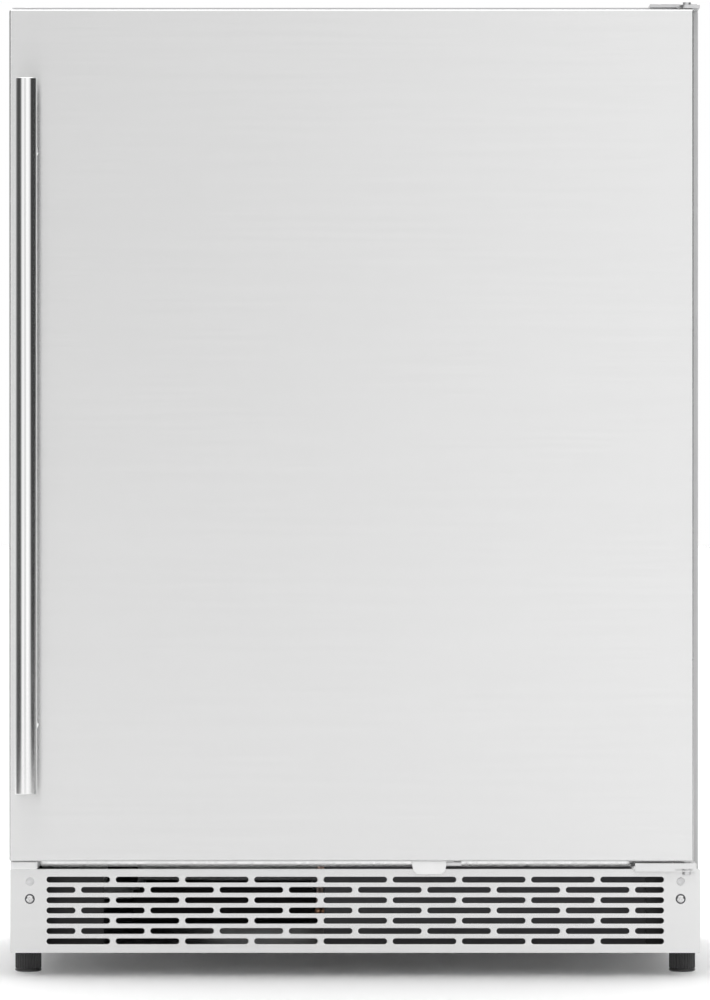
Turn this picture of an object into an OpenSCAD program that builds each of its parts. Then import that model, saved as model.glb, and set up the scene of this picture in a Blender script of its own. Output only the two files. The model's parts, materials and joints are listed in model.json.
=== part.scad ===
// Undercounter refrigerator: one hinged solid door, vented plinth, front-venting machine base.
// Millimetres, +Z up, +X to the viewer's right, -Y towards the viewer.
// The origin is on the floor, at the centre of the footprint.

/* [Cabinet] */
// Width across the side panels
cab_w = 598; // [594:1:600]
// Height of the top panel above the floor
cab_top = 841; // [838:1:844]
// Depth from the front of the handle to the rear panel
total_d = 614; // [610:1:640]
// Thickness of the steel sheets
sheet = 1; // [0.8:0.1:1.2]
// Thickness of the insulated side and rear walls
wall_t = 45; // [43:1:46]
// Thickness of the moulded inner liner
liner_t = 2; // [1.5:0.1:2.2]

/* [Door] */
// Thickness of the door without its gasket
door_t = 42; // [40:1:44]
// Height of the door's bottom edge above the floor
door_z0 = 99.5; // [99:0.5:101]
// Height of the door's top edge above the floor
door_z1 = 835.5; // [834:0.5:836]
// Gap between the door's hinge edge and the cabinet's side
hinge_edge_gap = 6.5; // [6:0.5:7]
// Thickness of the magnetic gasket when the door is shut
gasket_t = 12; // [11:1:13]
// Distance of the hinge pin behind the door face
pin_setback = 12; // [12:0.5:13]
// Distance of the hinge pin from the cabinet's side
pin_inset = 12; // [12:0.5:12.5]

/* [Handle] */
// Diameter of the handle bar
bar_d = 19; // [16:1:20]
// Length of the handle bar
bar_len = 615; // [400:5:650]
// Distance from the door face to the bar's centre line
bar_standoff = 38.5; // [35:0.5:45]
// Distance of the bar's centre line from the cabinet's side
bar_inset = 16.5; // [12:0.5:25]

/* [Plinth] */
// Height of the plinth's top edge above the floor
plinth_z1 = 92; // [91.5:0.5:92]
// Height of the plinth's bottom edge above the floor
plinth_z0 = 19.2; // [18.5:0.1:20]
// Distance of the plinth face behind the door face
plinth_setback = 17; // [17:0.5:19]
// Rows of ventilation slots
slot_rows = 7; // [3:1:7]
// Length of a full ventilation slot
slot_len = 55; // [50:1:56]
// Height of a ventilation slot
slot_h = 5; // [4:0.5:6]

/* [Feet] */
// Diameter of a levelling foot
foot_d = 23; // [20:1:26]
// Diameter of the foot's threaded stud
stud_d = 8; // [6:1:10]

/* [Interior] */
// Height of the lowest shelf
shelf_z0 = 318; // [316:1:322]
// Vertical distance between shelves
shelf_pitch = 182; // [180:1:184]
// Thickness of a shelf's glass
glass_t = 5; // [4:0.5:5]

/* [Hidden] */
$fn = 64;

// Small distances: a running fit, a free gap between bodies, and an overrun for cutting tools
fit = 0.05;
gap = 0.3;
eps = 1;

// Cabinet planes
half_w = cab_w / 2;
front_y = -total_d / 2;
back_y = total_d / 2;
bar_y = front_y + bar_d / 2;
door_y0 = bar_y + bar_standoff;
door_y1 = door_y0 + door_t;
cab_y0 = door_y1 + gasket_t;
plinth_y = door_y0 + plinth_setback;

// Inner cavity, with the step over the machine compartment
cav_x = half_w - wall_t;
cav_y1 = back_y - wall_t;
cav_z0 = plinth_z1 + 38;
cav_z1 = cab_top - 46;
step_y = 107;
step_z = 250;
step_wall = 37;

// Cabinet front: the steel flange round the liner's lip
flange_w = 21;
lip_x = half_w - flange_w;
lip_z0 = cav_z0 - 24;
lip_z1 = cav_z1 + 24;

// Door outline
door_x0 = -half_w;
door_x1 = half_w - hinge_edge_gap;
pin_x = half_w - pin_inset;
pin_y = door_y0 + pin_setback;
pin_r = 3;
bush_r = 4.3;
bush_len = 19;
bush_flange = 1;
fold_r = 2;

// Handle
bar_x = -half_w + bar_inset;
bar_z = (door_z0 + door_z1) / 2 - 1;
post_r = 6;
post_z = [bar_z - bar_len / 2 + 60, bar_z + bar_len / 2 - 60];

// Plinth
plinth_t = 1.2;
plinth_return = 12;
slot_gap = 5;
slot_pitch = slot_len + slot_gap;
slot_row_pitch = 8.9;
slots_in_row = 9;
slot_row0_z = plinth_z1 - 9.3;
slot_field = slots_in_row * slot_pitch - slot_gap;
half_slot = (slot_len - slot_gap) / 2;
plinth_fixing_x = half_w - 17;
plinth_screw_z = plinth_z1 - 26;
plinth_plug_z = plinth_z1 - 11;

// Upper hinge: a joggled plate on the top panel
hinge_plate_z = cab_top;
hinge_plate_t = 3;
hinge_arm_z = door_z1 + 1.5;
hinge_screw_xy = [for (x = [266, 286], y = [-188, -165]) [x, y]];
hinge_screw_r = 2;

// Lower hinge bracket
bracket_z0 = plinth_z1 + 0.2;
bracket_z1 = plinth_z1 + 3;
bracket_x0 = half_w - 60;
bracket_x1 = half_w - 3.7;
bracket_r = 3;
bracket_lip_z = [bracket_z0 - 1.9, bracket_z1 + 2.5];
bracket_y0 = door_y0 + 5.5;
bracket_screw_x = [bracket_x0 + 9, bracket_x0 + 25];

// Lock
lock_x = 64;
lock_y = door_y0 + 10;
lock_z0 = door_z0 - 11.2;
lock_r = 4.5;
lock_top = door_z0 + 26;
lock_w = 29.4;
lock_depth = 13.5;
cam_z0 = door_z0 - 4.1;
cam_z1 = door_z0 - 1.1;
cam_reach = 28;
keeper_x = lock_x - 7.5;
keeper_y = lock_y + 16.5;
keeper_r = 2.5;

// Shelves, ribs and bins
shelf_levels = [for (i = [0 : 2]) shelf_z0 + i * shelf_pitch];
rib_levels = [for (i = [0 : 4]) shelf_z0 + i * shelf_pitch / 2];
rib_x0 = cav_x - 10;
rib_y0 = -84;
shelf_x = cav_x - 3.5;
shelf_y0 = -104;
shelf_y1 = 218;
trim_w = 16;
bin_x = 224;
bin_y0 = door_y1 + 4;
bin_y1 = -112;
bin_wall = 2.5;
bin_levels = [cav_z0 + 20, shelf_z0 + 32, shelf_z0 + shelf_pitch + 32];
bin_heights = [110, 95, 95];
boss_r = 5;
boss_up = 30;
boss_y = -185;
dyke_x0 = bin_x + 2;
dyke_x1 = dyke_x0 + 12;
dyke_y1 = -175;

// Evaporator behind its cover
cover_x = 180;
cover_y = 222;
cover_z0 = step_z + 12;
cover_z1 = cav_z1 - 25;
cover_t = 2;
coil_z0 = cover_z0 + 58;
coil_z1 = cover_z0 + 338;
cold_fan_z = 700;
cold_fan_r = 38;
cold_hub_y = [230, 242];

// Controls under the ceiling
panel_x = 105;
panel_y = [cab_y0 + 19, cab_y0 + 75];
panel_z0 = cav_z1 - 24;
button_r = 5;
button_x = [45, 62, 79];
button_z = panel_z0 + 12;
display_x = 28;
lamp_y = [-120, -80];

// Machine base
pan_z = 20;
pan_t = 2;
pan_y0 = -228;
foot_x = half_w - 13.5;
foot_y = [cab_y0 + 9, back_y - 35];
foot_top = plinth_z0 - 1.2;
stud_top = 62;
boss_h = 18;
ceiling_z = step_z - step_wall - sheet;
rear_wall_y = step_y + step_wall - sheet;
pot_x = 120;
pot_y = 215;
pot_r = 64;
pot_z = [38, 188];
mount_xy = [for (x = [pot_x - 70, pot_x + 70], y = [pot_y - 50, pot_y + 50]) [x, y]];
core_x = [-26, 252];
core_y = [-185, -125];
core_z = [pan_z + pan_t, 88];
baffle_x = -220;
baffle_y = [core_y[0] - 1, core_y[0] + 0.5];
warm_fan_x = 113;
warm_fan_z = 55;
warm_fan_r = 27;
warm_hub_y = [-112, -100];
shroud_y = -95;
inlet_x = -220;
inlet_z = 60;
inlet_w = 28;
inlet_h = 20;

steel = "Gainsboro";
plastic_white = "WhiteSmoke";

// Box between two opposite corners
module block(lo, hi) {
    translate(lo)
        cube(hi - lo);
}

// The children and their mirror image in the centre plane
module both_sides() {
    children();
    mirror([1, 0, 0])
        children();
}

// Extrudes an outline given as (x, z) along Y
module along_y(y0, y1) {
    translate([0, y1, 0])
        rotate([90, 0, 0])
            linear_extrude(y1 - y0)
                children();
}

// Extrudes an outline given as (y, z) along X
module along_x(x0, x1) {
    translate([x0, 0, 0])
        rotate([90, 0, 90])
            linear_extrude(x1 - x0)
                children();
}

// Extrudes an outline given as (x, y) along Z
module along_z(z0, z1) {
    translate([0, 0, z0])
        linear_extrude(z1 - z0)
            children();
}

module rect(lo, hi) {
    translate(lo)
        square(hi - lo);
}

// Rectangle with four round corners
module round_rect(lo, hi, r) {
    rect([lo.x + r, lo.y], [hi.x - r, hi.y]);
    rect([lo.x, lo.y + r], [hi.x, hi.y - r]);
    for (x = [lo.x + r, hi.x - r], y = [lo.y + r, hi.y - r])
        translate([x, y])
            circle(r);
}

// Slot with round ends, lying along X
module slot(x, z, length, height) {
    rect([x - (length - height) / 2, z - height / 2], [x + (length - height) / 2, z + height / 2]);
    for (side = [-1, 1])
        translate([x + side * (length - height) / 2, z])
            circle(d = height);
}

// Rectangle whose two front corners follow the fold of a sheet
module folded_rect(x0, x1, y0, y1, r) {
    rect([x0 + r, y0], [x1 - r, y1]);
    rect([x0, y0 + r], [x1, y1]);
    for (x = [x0 + r, x1 - r])
        translate([x, y0 + r])
            circle(r);
}

// Round rod from point a to point b
module rod(a, b, r) {
    v = b - a;
    translate(a)
        rotate([0, acos(v.z / norm(v)), atan2(v.y, v.x)])
            cylinder(h = norm(v), r = r);
}

// Tube through a list of points, with a brazed elbow at each bend
module bent_tube(points, r) {
    for (i = [0 : len(points) - 2])
        rod(points[i], points[i + 1], r);
    for (i = [1 : len(points) - 2])
        translate(points[i])
            sphere(r * 1.3);
}

// Pan head with a crossed recess, facing +Z, with its shank below
module pan_screw(head_r, head_h, shank_r, shank_len) {
    difference() {
        cylinder(h = head_h, r = head_r);
        for (angle = [0, 90])
            rotate([0, 0, angle])
                block([-head_r * 0.6, -0.5, head_h - 1], [head_r * 0.6, 0.5, head_h + eps]);
    }
    translate([0, 0, -shank_len])
        cylinder(h = shank_len, r = shank_r);
}

// ---------------------------------------------------------------- cabinet shell

// Side sheet; its front flange stops above the plinth, where the machine base is open
module side_panel_right() {
    color(steel) {
        block([half_w - sheet, cab_y0, pan_z], [half_w, back_y - sheet, cab_top - sheet]);
        block([lip_x, cab_y0, plinth_z1], [half_w - sheet, cab_y0 + sheet, cab_top - sheet]);
    }
}

module side_panel_left() {
    mirror([1, 0, 0])
        side_panel_right();
}

module top_panel() {
    color(steel)
        difference() {
            union() {
                block([-half_w, cab_y0, cab_top - sheet], [half_w, back_y, cab_top]);
                block([-lip_x, cab_y0, lip_z1], [lip_x, cab_y0 + sheet, cab_top - sheet]);
            }
            for (p = hinge_screw_xy)
                translate([p.x, p.y, cab_top - sheet - eps])
                    cylinder(h = sheet + 2 * eps, r = hinge_screw_r + 0.1);
        }
}

module rear_panel() {
    color(steel)
        block([-half_w, back_y - sheet, ceiling_z], [half_w, back_y, cab_top - sheet]);
}

// Steel underside of the insulated box, stepped over the machine compartment
module box_floor_panel() {
    color(steel)
        along_x(-half_w + sheet, half_w - sheet) {
            rect([cab_y0 + 25, plinth_z1], [rear_wall_y + sheet, plinth_z1 + sheet]);
            rect([rear_wall_y, plinth_z1], [rear_wall_y + sheet, ceiling_z + sheet]);
            rect([rear_wall_y, ceiling_z], [back_y - sheet, ceiling_z + sheet]);
        }
}

// Side outline of the cavity, grown outwards by d and reaching forward to y0
module cavity_side(d, y0) {
    rect([y0, cav_z0 - d], [step_y + d, cav_z1 + d]);
    rect([y0, step_z - d], [cav_y1 + d, cav_z1 + d]);
}

module insulation_foam() {
    color("LightYellow")
        difference() {
            along_x(-half_w + sheet, half_w - sheet) {
                rect([cab_y0 + 25, plinth_z1 + sheet], [rear_wall_y, cab_top - sheet]);
                rect([cab_y0 + liner_t, plinth_z1 + 2 * sheet], [cab_y0 + 25, cab_top - sheet]);
                rect([rear_wall_y, ceiling_z + sheet], [back_y - sheet, cab_top - sheet]);
            }
            along_x(-cav_x - liner_t, cav_x + liner_t)
                cavity_side(liner_t, cab_y0 - eps);
            for (p = hinge_screw_xy)
                translate([p.x, p.y, cab_top - 12])
                    cylinder(h = 12, r = hinge_screw_r + 0.6);
        }
}

module inner_liner() {
    color(plastic_white) {
        difference() {
            union() {
                along_x(-cav_x - liner_t, cav_x + liner_t)
                    cavity_side(liner_t, cab_y0);
                block([-lip_x, cab_y0, lip_z0], [lip_x, cab_y0 + liner_t, lip_z1]);
            }
            along_x(-cav_x, cav_x)
                cavity_side(0, cab_y0 - eps);
        }
        for (z = rib_levels)
            both_sides()
                block([rib_x0, rib_y0, z - 8], [cav_x + liner_t / 2, cover_y - 2, z - 0.2]);
    }
}

module bottom_rail() {
    color(steel) {
        block([-lip_x, cab_y0, plinth_z1], [lip_x, cab_y0 + sheet, lip_z0]);
        block([-lip_x, cab_y0 + sheet, plinth_z1], [lip_x, cab_y0 + 25, plinth_z1 + sheet]);
    }
}

// ---------------------------------------------------------------- plinth

// Ventilation slots: even rows hold full slots, odd rows are shifted by half a slot
module slot_field_outline() {
    for (row = [0 : slot_rows - 1]) {
        z = slot_row0_z - row * slot_row_pitch;
        shifted = row % 2;
        count = slots_in_row - shifted;
        for (i = [0 : count - 1])
            slot((i - (count - 1) / 2) * slot_pitch, z, slot_len, slot_h);
        if (shifted == 1)
            for (side = [-1, 1])
                slot(side * (slot_field - half_slot) / 2, z, half_slot, slot_h);
    }
}

module plinth_grille() {
    color(steel) {
        along_y(plinth_y, plinth_y + plinth_t)
            difference() {
                round_rect([-half_w, plinth_z0], [half_w, plinth_z1], 1.5);
                slot_field_outline();
                for (side = [-1, 1]) {
                    translate([side * plinth_fixing_x, plinth_screw_z])
                        circle(2.1);
                    translate([side * plinth_fixing_x, plinth_plug_z])
                        circle(2.6);
                }
            }
        both_sides()
            block([half_w - plinth_t, plinth_y + plinth_t, plinth_z0 + 2],
                  [half_w, cab_y0, plinth_z1 - 2]);
        for (z = [plinth_z0 + 1.5, plinth_z1 - 1.5 - plinth_t])
            block([-half_w + 3, plinth_y + plinth_t, z],
                  [half_w - 3, plinth_y + plinth_return, z + plinth_t]);
    }
}

module plinth_plugs() {
    color("LightGray")
        both_sides()
            translate([plinth_fixing_x, plinth_y, plinth_plug_z])
                rotate([90, 0, 0]) {
                    cylinder(h = 0.8, r = 3.65);
                    translate([0, 0, -4])
                        cylinder(h = 4, r = 2.5);
                }
}

// ---------------------------------------------------------------- hinges

module upper_hinge_plate() {
    color("DarkGray")
        difference() {
            union() {
                along_z(hinge_plate_z, hinge_plate_z + hinge_plate_t)
                    rect([bracket_x0 + 18, cab_y0 - 4], [half_w - 1, cab_y0 + 52]);
                along_z(hinge_arm_z, hinge_plate_z + hinge_plate_t)
                    rect([pin_x - 7, cab_y0 - 4], [half_w - 1, cab_y0 - 0.2]);
                along_z(hinge_arm_z, hinge_arm_z + hinge_plate_t) {
                    rect([pin_x - 7, pin_y], [half_w - 1, cab_y0 - 4]);
                    rect([pin_x, pin_y - 7], [half_w - 1, pin_y]);
                    translate([pin_x, pin_y])
                        circle(7);
                }
            }
            for (p = hinge_screw_xy)
                translate([p.x, p.y, hinge_plate_z - eps])
                    cylinder(h = hinge_plate_t + 2 * eps, r = hinge_screw_r + 0.1);
            translate([pin_x, pin_y, hinge_arm_z - eps])
                cylinder(h = hinge_plate_t + 2 * eps, r = pin_r);
        }
}

// Every pan-head screw: two in the plinth, four in the upper hinge, two in the lower bracket
module pan_screws() {
    color("Silver") {
        both_sides()
            translate([plinth_fixing_x, plinth_y, plinth_screw_z])
                rotate([90, 0, 0])
                    pan_screw(4, 2, 1.9, 11);
        for (p = hinge_screw_xy)
            translate([p.x, p.y, hinge_plate_z + hinge_plate_t])
                pan_screw(4, 2, hinge_screw_r, 13);
        for (x = bracket_screw_x)
            translate([x, cab_y0 - 1.2, bracket_z1 + 5])
                rotate([90, 0, 0])
                    pan_screw(3.5, 1.8, 1.6, 1.2);
    }
}

// Shouldered pins: the upper one hangs into the door, the lower one stands up into it
module hinge_pins() {
    color("Gray") {
        translate([pin_x, pin_y, 0]) {
            difference() {
                union() {
                    translate([0, 0, hinge_arm_z + hinge_plate_t])
                        cylinder(h = 2.4, r = 3.6);
                    translate([0, 0, door_z1 - 15])
                        cylinder(h = hinge_arm_z + hinge_plate_t - door_z1 + 15, r = pin_r);
                }
                block([-5, -0.6, hinge_arm_z + hinge_plate_t + 1.2], [5, 0.6, hinge_arm_z + 9]);
            }
            translate([0, 0, bracket_z0 - 5])
                cylinder(h = 5, r = 3.5, $fn = 6);
            translate([0, 0, bracket_z0])
                cylinder(h = door_z0 + 15 - bracket_z0, r = pin_r);
        }
    }
}

// Flanged bushes pressed into the door's two ends, turning on the hinge pins
module hinge_bushes() {
    color("Ivory")
        translate([pin_x, pin_y, 0])
            difference() {
                union() {
                    for (z = [door_z0, door_z1 - bush_len])
                        translate([0, 0, z])
                            cylinder(h = bush_len, r = bush_r);
                    for (z = [door_z0 - bush_flange, door_z1])
                        translate([0, 0, z])
                            cylinder(h = bush_flange, r = bush_r + 0.9);
                }
                for (z = [door_z0 - bush_flange - eps, door_z1 - bush_len - eps])
                    translate([0, 0, z])
                        cylinder(h = bush_len + bush_flange + 2 * eps, r = pin_r + fit);
            }
}

module lower_hinge_bracket() {
    color(steel)
        difference() {
            union() {
                along_z(bracket_z0, bracket_z1) {
                    rect([bracket_x0, bracket_y0 + bracket_r], [bracket_x1, cab_y0]);
                    rect([bracket_x0 + bracket_r, bracket_y0], [bracket_x1, bracket_y0 + bracket_r]);
                    translate([bracket_x0 + bracket_r, bracket_y0 + bracket_r])
                        circle(bracket_r);
                }
                block([bracket_x0 + bracket_r, bracket_y0, bracket_lip_z[0]],
                      [bracket_x1, bracket_y0 + 2, bracket_lip_z[1]]);
                block([bracket_x0, cab_y0 - 1.2, bracket_z1], [bracket_x0 + 34, cab_y0, bracket_z1 + 9]);
                block([bracket_x1 - 5.2, cab_y0 - 22, bracket_z1],
                      [bracket_x1, cab_y0 - 8, bracket_z1 + 2.8]);
            }
            block([pin_x - 10, bracket_y0 - eps, bracket_z0 - 1],
                  [pin_x + 4.6, bracket_y0 + 2 + eps, bracket_z0 + 0.5]);
            translate([pin_x, pin_y, bracket_z0 - eps])
                cylinder(h = 6, r = pin_r);
            for (x = bracket_screw_x)
                translate([x, cab_y0 + eps, bracket_z1 + 5])
                    rotate([90, 0, 0])
                        cylinder(h = 4, r = 1.6);
        }
}

// Moulded cover over the unused hinge position
module spare_hinge_cover() {
    color("White")
        along_z(plinth_z1 + 0.2, door_z0 - 0.8)
            round_rect([-half_w + 0.5, door_y0 + 8], [-half_w + 24, cab_y0], 1.5);
}

// ---------------------------------------------------------------- machine base

// Floor of the machine base, with bosses for the feet and an air baffle at its front left
module base_pan() {
    color("DimGray")
        difference() {
            union() {
                block([-half_w + sheet, pan_y0, pan_z], [half_w - sheet, back_y - 2, pan_z + pan_t]);
                block([-half_w + 4, baffle_y[0], pan_z + pan_t], [baffle_x, baffle_y[1], core_z[1]]);
                for (side = [-1, 1], y = foot_y)
                    translate([side * foot_x, y, pan_z + pan_t])
                        cylinder(h = boss_h, r = 9);
            }
            for (side = [-1, 1], y = foot_y)
                translate([side * foot_x, y, pan_z - eps])
                    cylinder(h = boss_h + pan_t + 2 * eps, r = stud_d / 2 + fit);
            both_sides()
                block([half_w - plinth_t - 2, pan_y0 - eps, pan_z - eps],
                      [half_w, cab_y0, pan_z + pan_t + eps]);
        }
}

// Levelling foot: ribbed body on a plain pad, with a threaded stud into the base pan
module foot(x, y) {
    ribs = 28;
    pad_h = 3;
    color("DimGray")
        translate([x, y, 0]) {
            cylinder(h = pad_h, r = foot_d / 2);
            along_z(pad_h, foot_top) {
                circle(foot_d / 2 - 0.7);
                for (i = [0 : ribs - 1])
                    rotate(i * 360 / ribs)
                        translate([foot_d / 2 - 0.9, 0])
                            circle(0.8, $fn = 16);
            }
            translate([0, 0, foot_top])
                cylinder(h = stud_top - foot_top, r = stud_d / 2);
        }
}

module compressor() {
    color("DimGray") {
        translate([pot_x, pot_y, 0])
            rotate_extrude()
                intersection() {
                    round_rect([-pot_r, pot_z[0]], [pot_r, pot_z[1]], 26);
                    rect([0, pot_z[0]], [pot_r, pot_z[1]]);
                }
        difference() {
            along_z(pot_z[0] - 4, pot_z[0])
                round_rect([pot_x - 84, pot_y - 62], [pot_x + 84, pot_y + 62], 8);
            for (p = mount_xy)
                translate([p.x, p.y, pot_z[0] - 5])
                    cylinder(h = 6, r = 6.1);
        }
        block([pot_x - pot_r - 14, pot_y - 20, 90], [pot_x - pot_r + 4, pot_y + 20, 140]);
    }
}

// Rubber grommets between the base pan and the compressor's plate
module compressor_mounts() {
    color("Black")
        for (p = mount_xy)
            translate([p.x, p.y, 0]) {
                translate([0, 0, pan_z + pan_t])
                    cylinder(h = pot_z[0] - 4 - pan_z - pan_t, r = 10);
                translate([0, 0, pot_z[0] - 4])
                    cylinder(h = 4, r = 6);
                translate([0, 0, pot_z[0]])
                    cylinder(h = 3, r = 9);
            }
}

// Finned block between two side plates; the right one is folded out to close the gap beside it
module condenser() {
    fins = 45;
    fin_pitch = (core_x[1] - core_x[0] - 12) / (fins - 1);
    color("DimGray") {
        for (i = [0 : fins - 1])
            translate([core_x[0] + 6 + i * fin_pitch, 0, 0])
                block([-0.4, core_y[0], core_z[0]], [0.4, core_y[1], core_z[1]]);
        for (y = [core_y[0] + 10, core_y[0] + 30, core_y[0] + 50], z = [34, 50, 66, 80])
            rod([core_x[0] + 1, y, z], [core_x[1] - 1, y, z], 3);
        for (x = [core_x[0], core_x[1] - 1.5])
            block([x, core_y[0] - 3, core_z[0]], [x + 1.5, core_y[1], core_z[1]]);
        block([core_x[1], core_y[0] - 3, core_z[0]], [foot_x - 10, core_y[0] - 1.5, core_z[1]]);
    }
}

module fan_shroud() {
    color("DimGray")
        difference() {
            block([core_x[0], core_y[1], core_z[0]], [core_x[1], shroud_y, core_z[1]]);
            block([core_x[0] + 2, core_y[1] - eps, core_z[0] + 2],
                  [core_x[1] - 2, shroud_y - 2, core_z[1] - 2]);
            translate([warm_fan_x, shroud_y + eps, warm_fan_z])
                rotate([90, 0, 0])
                    cylinder(h = 4, r = warm_fan_r + 2);
        }
}

// Motor on three arms, with its shaft towards -Y
module fan_motor(x, y0, y1, z, r, shaft_y, arm_r) {
    color("DarkSlateGray")
        translate([x, 0, z]) {
            along_y(y0, y1)
                circle(r);
            along_y(shaft_y, y0)
                circle(2);
            if (arm_r > 0)
                along_y(y0 + 3, y0 + 6)
                    for (a = [30, 150, 270])
                        rotate(a)
                            rect([0, -3], [arm_r, 3]);
        }
}

// Hub with pitched blades, turning about an axis along Y
module fan_blade(x, hub_y, z, r, blades) {
    mid = (hub_y[0] + hub_y[1]) / 2;
    color("SlateGray")
        difference() {
            union() {
                translate([x, 0, z])
                    along_y(hub_y[0], hub_y[1])
                        circle(11);
                for (i = [0 : blades - 1])
                    translate([x, mid, z])
                        rotate([0, i * 360 / blades, 0])
                            translate([0, 0, 9])
                                rotate([0, 0, 28])
                                    block([-9, -0.8, 0], [9, 0.8, r - 12]);
            }
            translate([x, 0, z])
                along_y(hub_y[0] - eps, hub_y[1] + eps)
                    circle(2 + fit);
        }
}

// Discharge line, suction line, and the liquid line with its filter drier
module refrigerant_tubing() {
    side_x = core_x[1] + 10;
    inner_x = core_x[0] - 6;
    coil_y = core_y[0] + 30;
    color("Peru") {
        bent_tube([[pot_x - pot_r, pot_y, 70], [inner_x, pot_y, 70], [inner_x, coil_y, 50],
                   [core_x[0], coil_y, 50]], 3);
        bent_tube([[pot_x + pot_r, pot_y, 150], [side_x, pot_y, 150], [side_x, pot_y, ceiling_z]], 4);
        bent_tube([[core_x[1], coil_y, 50], [side_x, coil_y, 50], [side_x, 150, 50],
                   [side_x, 170, 90], [side_x, 240, 90], [side_x, 240, ceiling_z]], 3);
        rod([side_x, 30, 50], [side_x, 130, 50], 9);
    }
}

// Open tray that catches and evaporates the defrost water
module drain_pan() {
    lo = [-200, 165, pan_z + pan_t];
    hi = [-40, 285, 52];
    color("DimGray")
        difference() {
            block(lo, hi);
            block(lo + [2, 2, 2], hi + [-2, -2, eps]);
        }
}

module machine_cover() {
    rows = 9;
    color("Silver")
        along_y(back_y - sheet, back_y)
            difference() {
                rect([-half_w + 6, pan_z + 5], [half_w - 6, ceiling_z - gap]);
                for (column = [-1 : 1], row = [0 : rows - 1])
                    slot(30 + column * 120, 75 + row * 13, 95, 5);
                rect([inlet_x - inlet_w / 2, inlet_z - inlet_h / 2],
                     [inlet_x + inlet_w / 2, inlet_z + inlet_h / 2]);
            }
}

// Appliance inlet with a recessed socket and three contact blades
module power_inlet() {
    depth = 22;
    wall = 2.5;
    color("Black")
        translate([inlet_x, back_y, inlet_z]) {
            difference() {
                block([-inlet_w / 2, -depth, -inlet_h / 2], [inlet_w / 2, 0, inlet_h / 2]);
                block([-inlet_w / 2 + wall, -depth + 4, -inlet_h / 2 + wall],
                      [inlet_w / 2 - wall, eps, inlet_h / 2 - wall]);
            }
            for (x = [-7, 0, 7])
                block([x - 1, -depth + 3, -2], [x + 1, -depth + 9, 2]);
        }
}

// ---------------------------------------------------------------- inside the cavity

module evaporator_cover() {
    grille_slots = 7;
    color("Gainsboro")
        difference() {
            block([-cover_x, cover_y, cover_z0], [cover_x, cav_y1, cover_z1]);
            block([-cover_x + cover_t, cover_y + cover_t, cover_z0 + cover_t],
                  [cover_x - cover_t, cav_y1 + eps, cover_z1 - cover_t]);
            along_y(cover_y - eps, cover_y + cover_t + eps) {
                for (i = [-(grille_slots - 1) / 2 : (grille_slots - 1) / 2])
                    slot(0, cold_fan_z + i * 10, 2 * sqrt(pow(cold_fan_r + 2, 2) - pow(i * 10, 2)), 5);
                for (i = [-5 : 5])
                    slot(i * 30, cover_z0 + 18, 24, 6);
            }
        }
}

module evaporator() {
    fins = 31;
    color("Silver") {
        for (i = [0 : fins - 1])
            translate([-150 + i * 10, 0, 0])
                block([-0.4, cav_y1 - 30, coil_z0], [0.4, cav_y1 - 4, coil_z1]);
        for (z = [coil_z0 + 20 : 40 : coil_z1 - 20])
            rod([-158, cav_y1 - 17, z], [158, cav_y1 - 17, z], 4);
        both_sides()
            block([153, cav_y1 - 30, coil_z0 - 6], [155, cav_y1, coil_z1 + 6]);
    }
}

module lamp_lens() {
    color("White")
        block([-80, lamp_y[0], cav_z1 - 8], [80, lamp_y[1], cav_z1]);
}

module control_housing() {
    color("WhiteSmoke")
        difference() {
            block([-panel_x, panel_y[0], panel_z0], [panel_x, panel_y[1], cav_z1]);
            block([-display_x, panel_y[0] - eps, button_z - 7], [display_x, panel_y[0] + 1.5, button_z + 7]);
            for (x = button_x)
                translate([x, panel_y[0] + 10, button_z])
                    rotate([90, 0, 0])
                        cylinder(h = 10 + eps, r = button_r + gap);
        }
}

module control_display() {
    color("Black")
        block([-display_x, panel_y[0], button_z - 7], [display_x, panel_y[0] + 1.5, button_z + 7]);
}

module button(i) {
    color("LightGray")
        translate([button_x[i], panel_y[0] + 6, button_z])
            rotate([90, 0, 0])
                cylinder(h = 8, r = button_r);
}

module shelf_glass(level) {
    color("LightCyan")
        along_z(shelf_levels[level], shelf_levels[level] + glass_t)
            rect([-shelf_x + 1, shelf_y0 + 3], [shelf_x - 1, shelf_y1 - 2]);
}

// Moulded strips along the glass's front edge and its rear edge
module shelf_trim(level) {
    z = shelf_levels[level];
    color("WhiteSmoke")
        difference() {
            union() {
                along_x(-shelf_x, shelf_x)
                    round_rect([shelf_y0, z - 3], [shelf_y0 + trim_w, z + glass_t + 3], 2.5);
                block([-shelf_x, shelf_y1 - 12, z], [shelf_x, shelf_y1, z + 14]);
            }
            block([-shelf_x + 1, shelf_y0 + 3, z], [shelf_x - 1, shelf_y1 - 2, z + glass_t]);
        }
}

// ---------------------------------------------------------------- door

module door_skin() {
    color(steel)
        difference() {
            along_z(door_z0, door_z1)
                folded_rect(door_x0, door_x1, door_y0, door_y1, fold_r);
            along_z(door_z0 + sheet, door_z1 - sheet)
                folded_rect(door_x0 + sheet, door_x1 - sheet, door_y0 + sheet, door_y1 + eps,
                            fold_r - sheet / 2);
            for (z = [door_z0 - eps, door_z1 - sheet - eps])
                translate([pin_x, pin_y, z])
                    cylinder(h = sheet + 2 * eps, r = bush_r);
            translate([lock_x, lock_y, door_z0 - eps])
                cylinder(h = sheet + 2 * eps, r = lock_r + gap);
        }
}

module door_foam() {
    notch = 26;
    color("LightYellow")
        difference() {
            along_z(door_z0 + sheet, door_z1 - sheet)
                folded_rect(door_x0 + sheet, door_x1 - sheet, door_y0 + sheet, door_y1 - liner_t,
                            fold_r - sheet / 2);
            for (z = [door_z0, door_z1 - notch])
                block([pin_x - 8, door_y0, z], [door_x1, door_y0 + 24, z + notch]);
            translate([lock_x, lock_y, door_z0])
                cylinder(h = lock_top - door_z0 + 2, r = lock_r + 1);
        }
}

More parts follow.
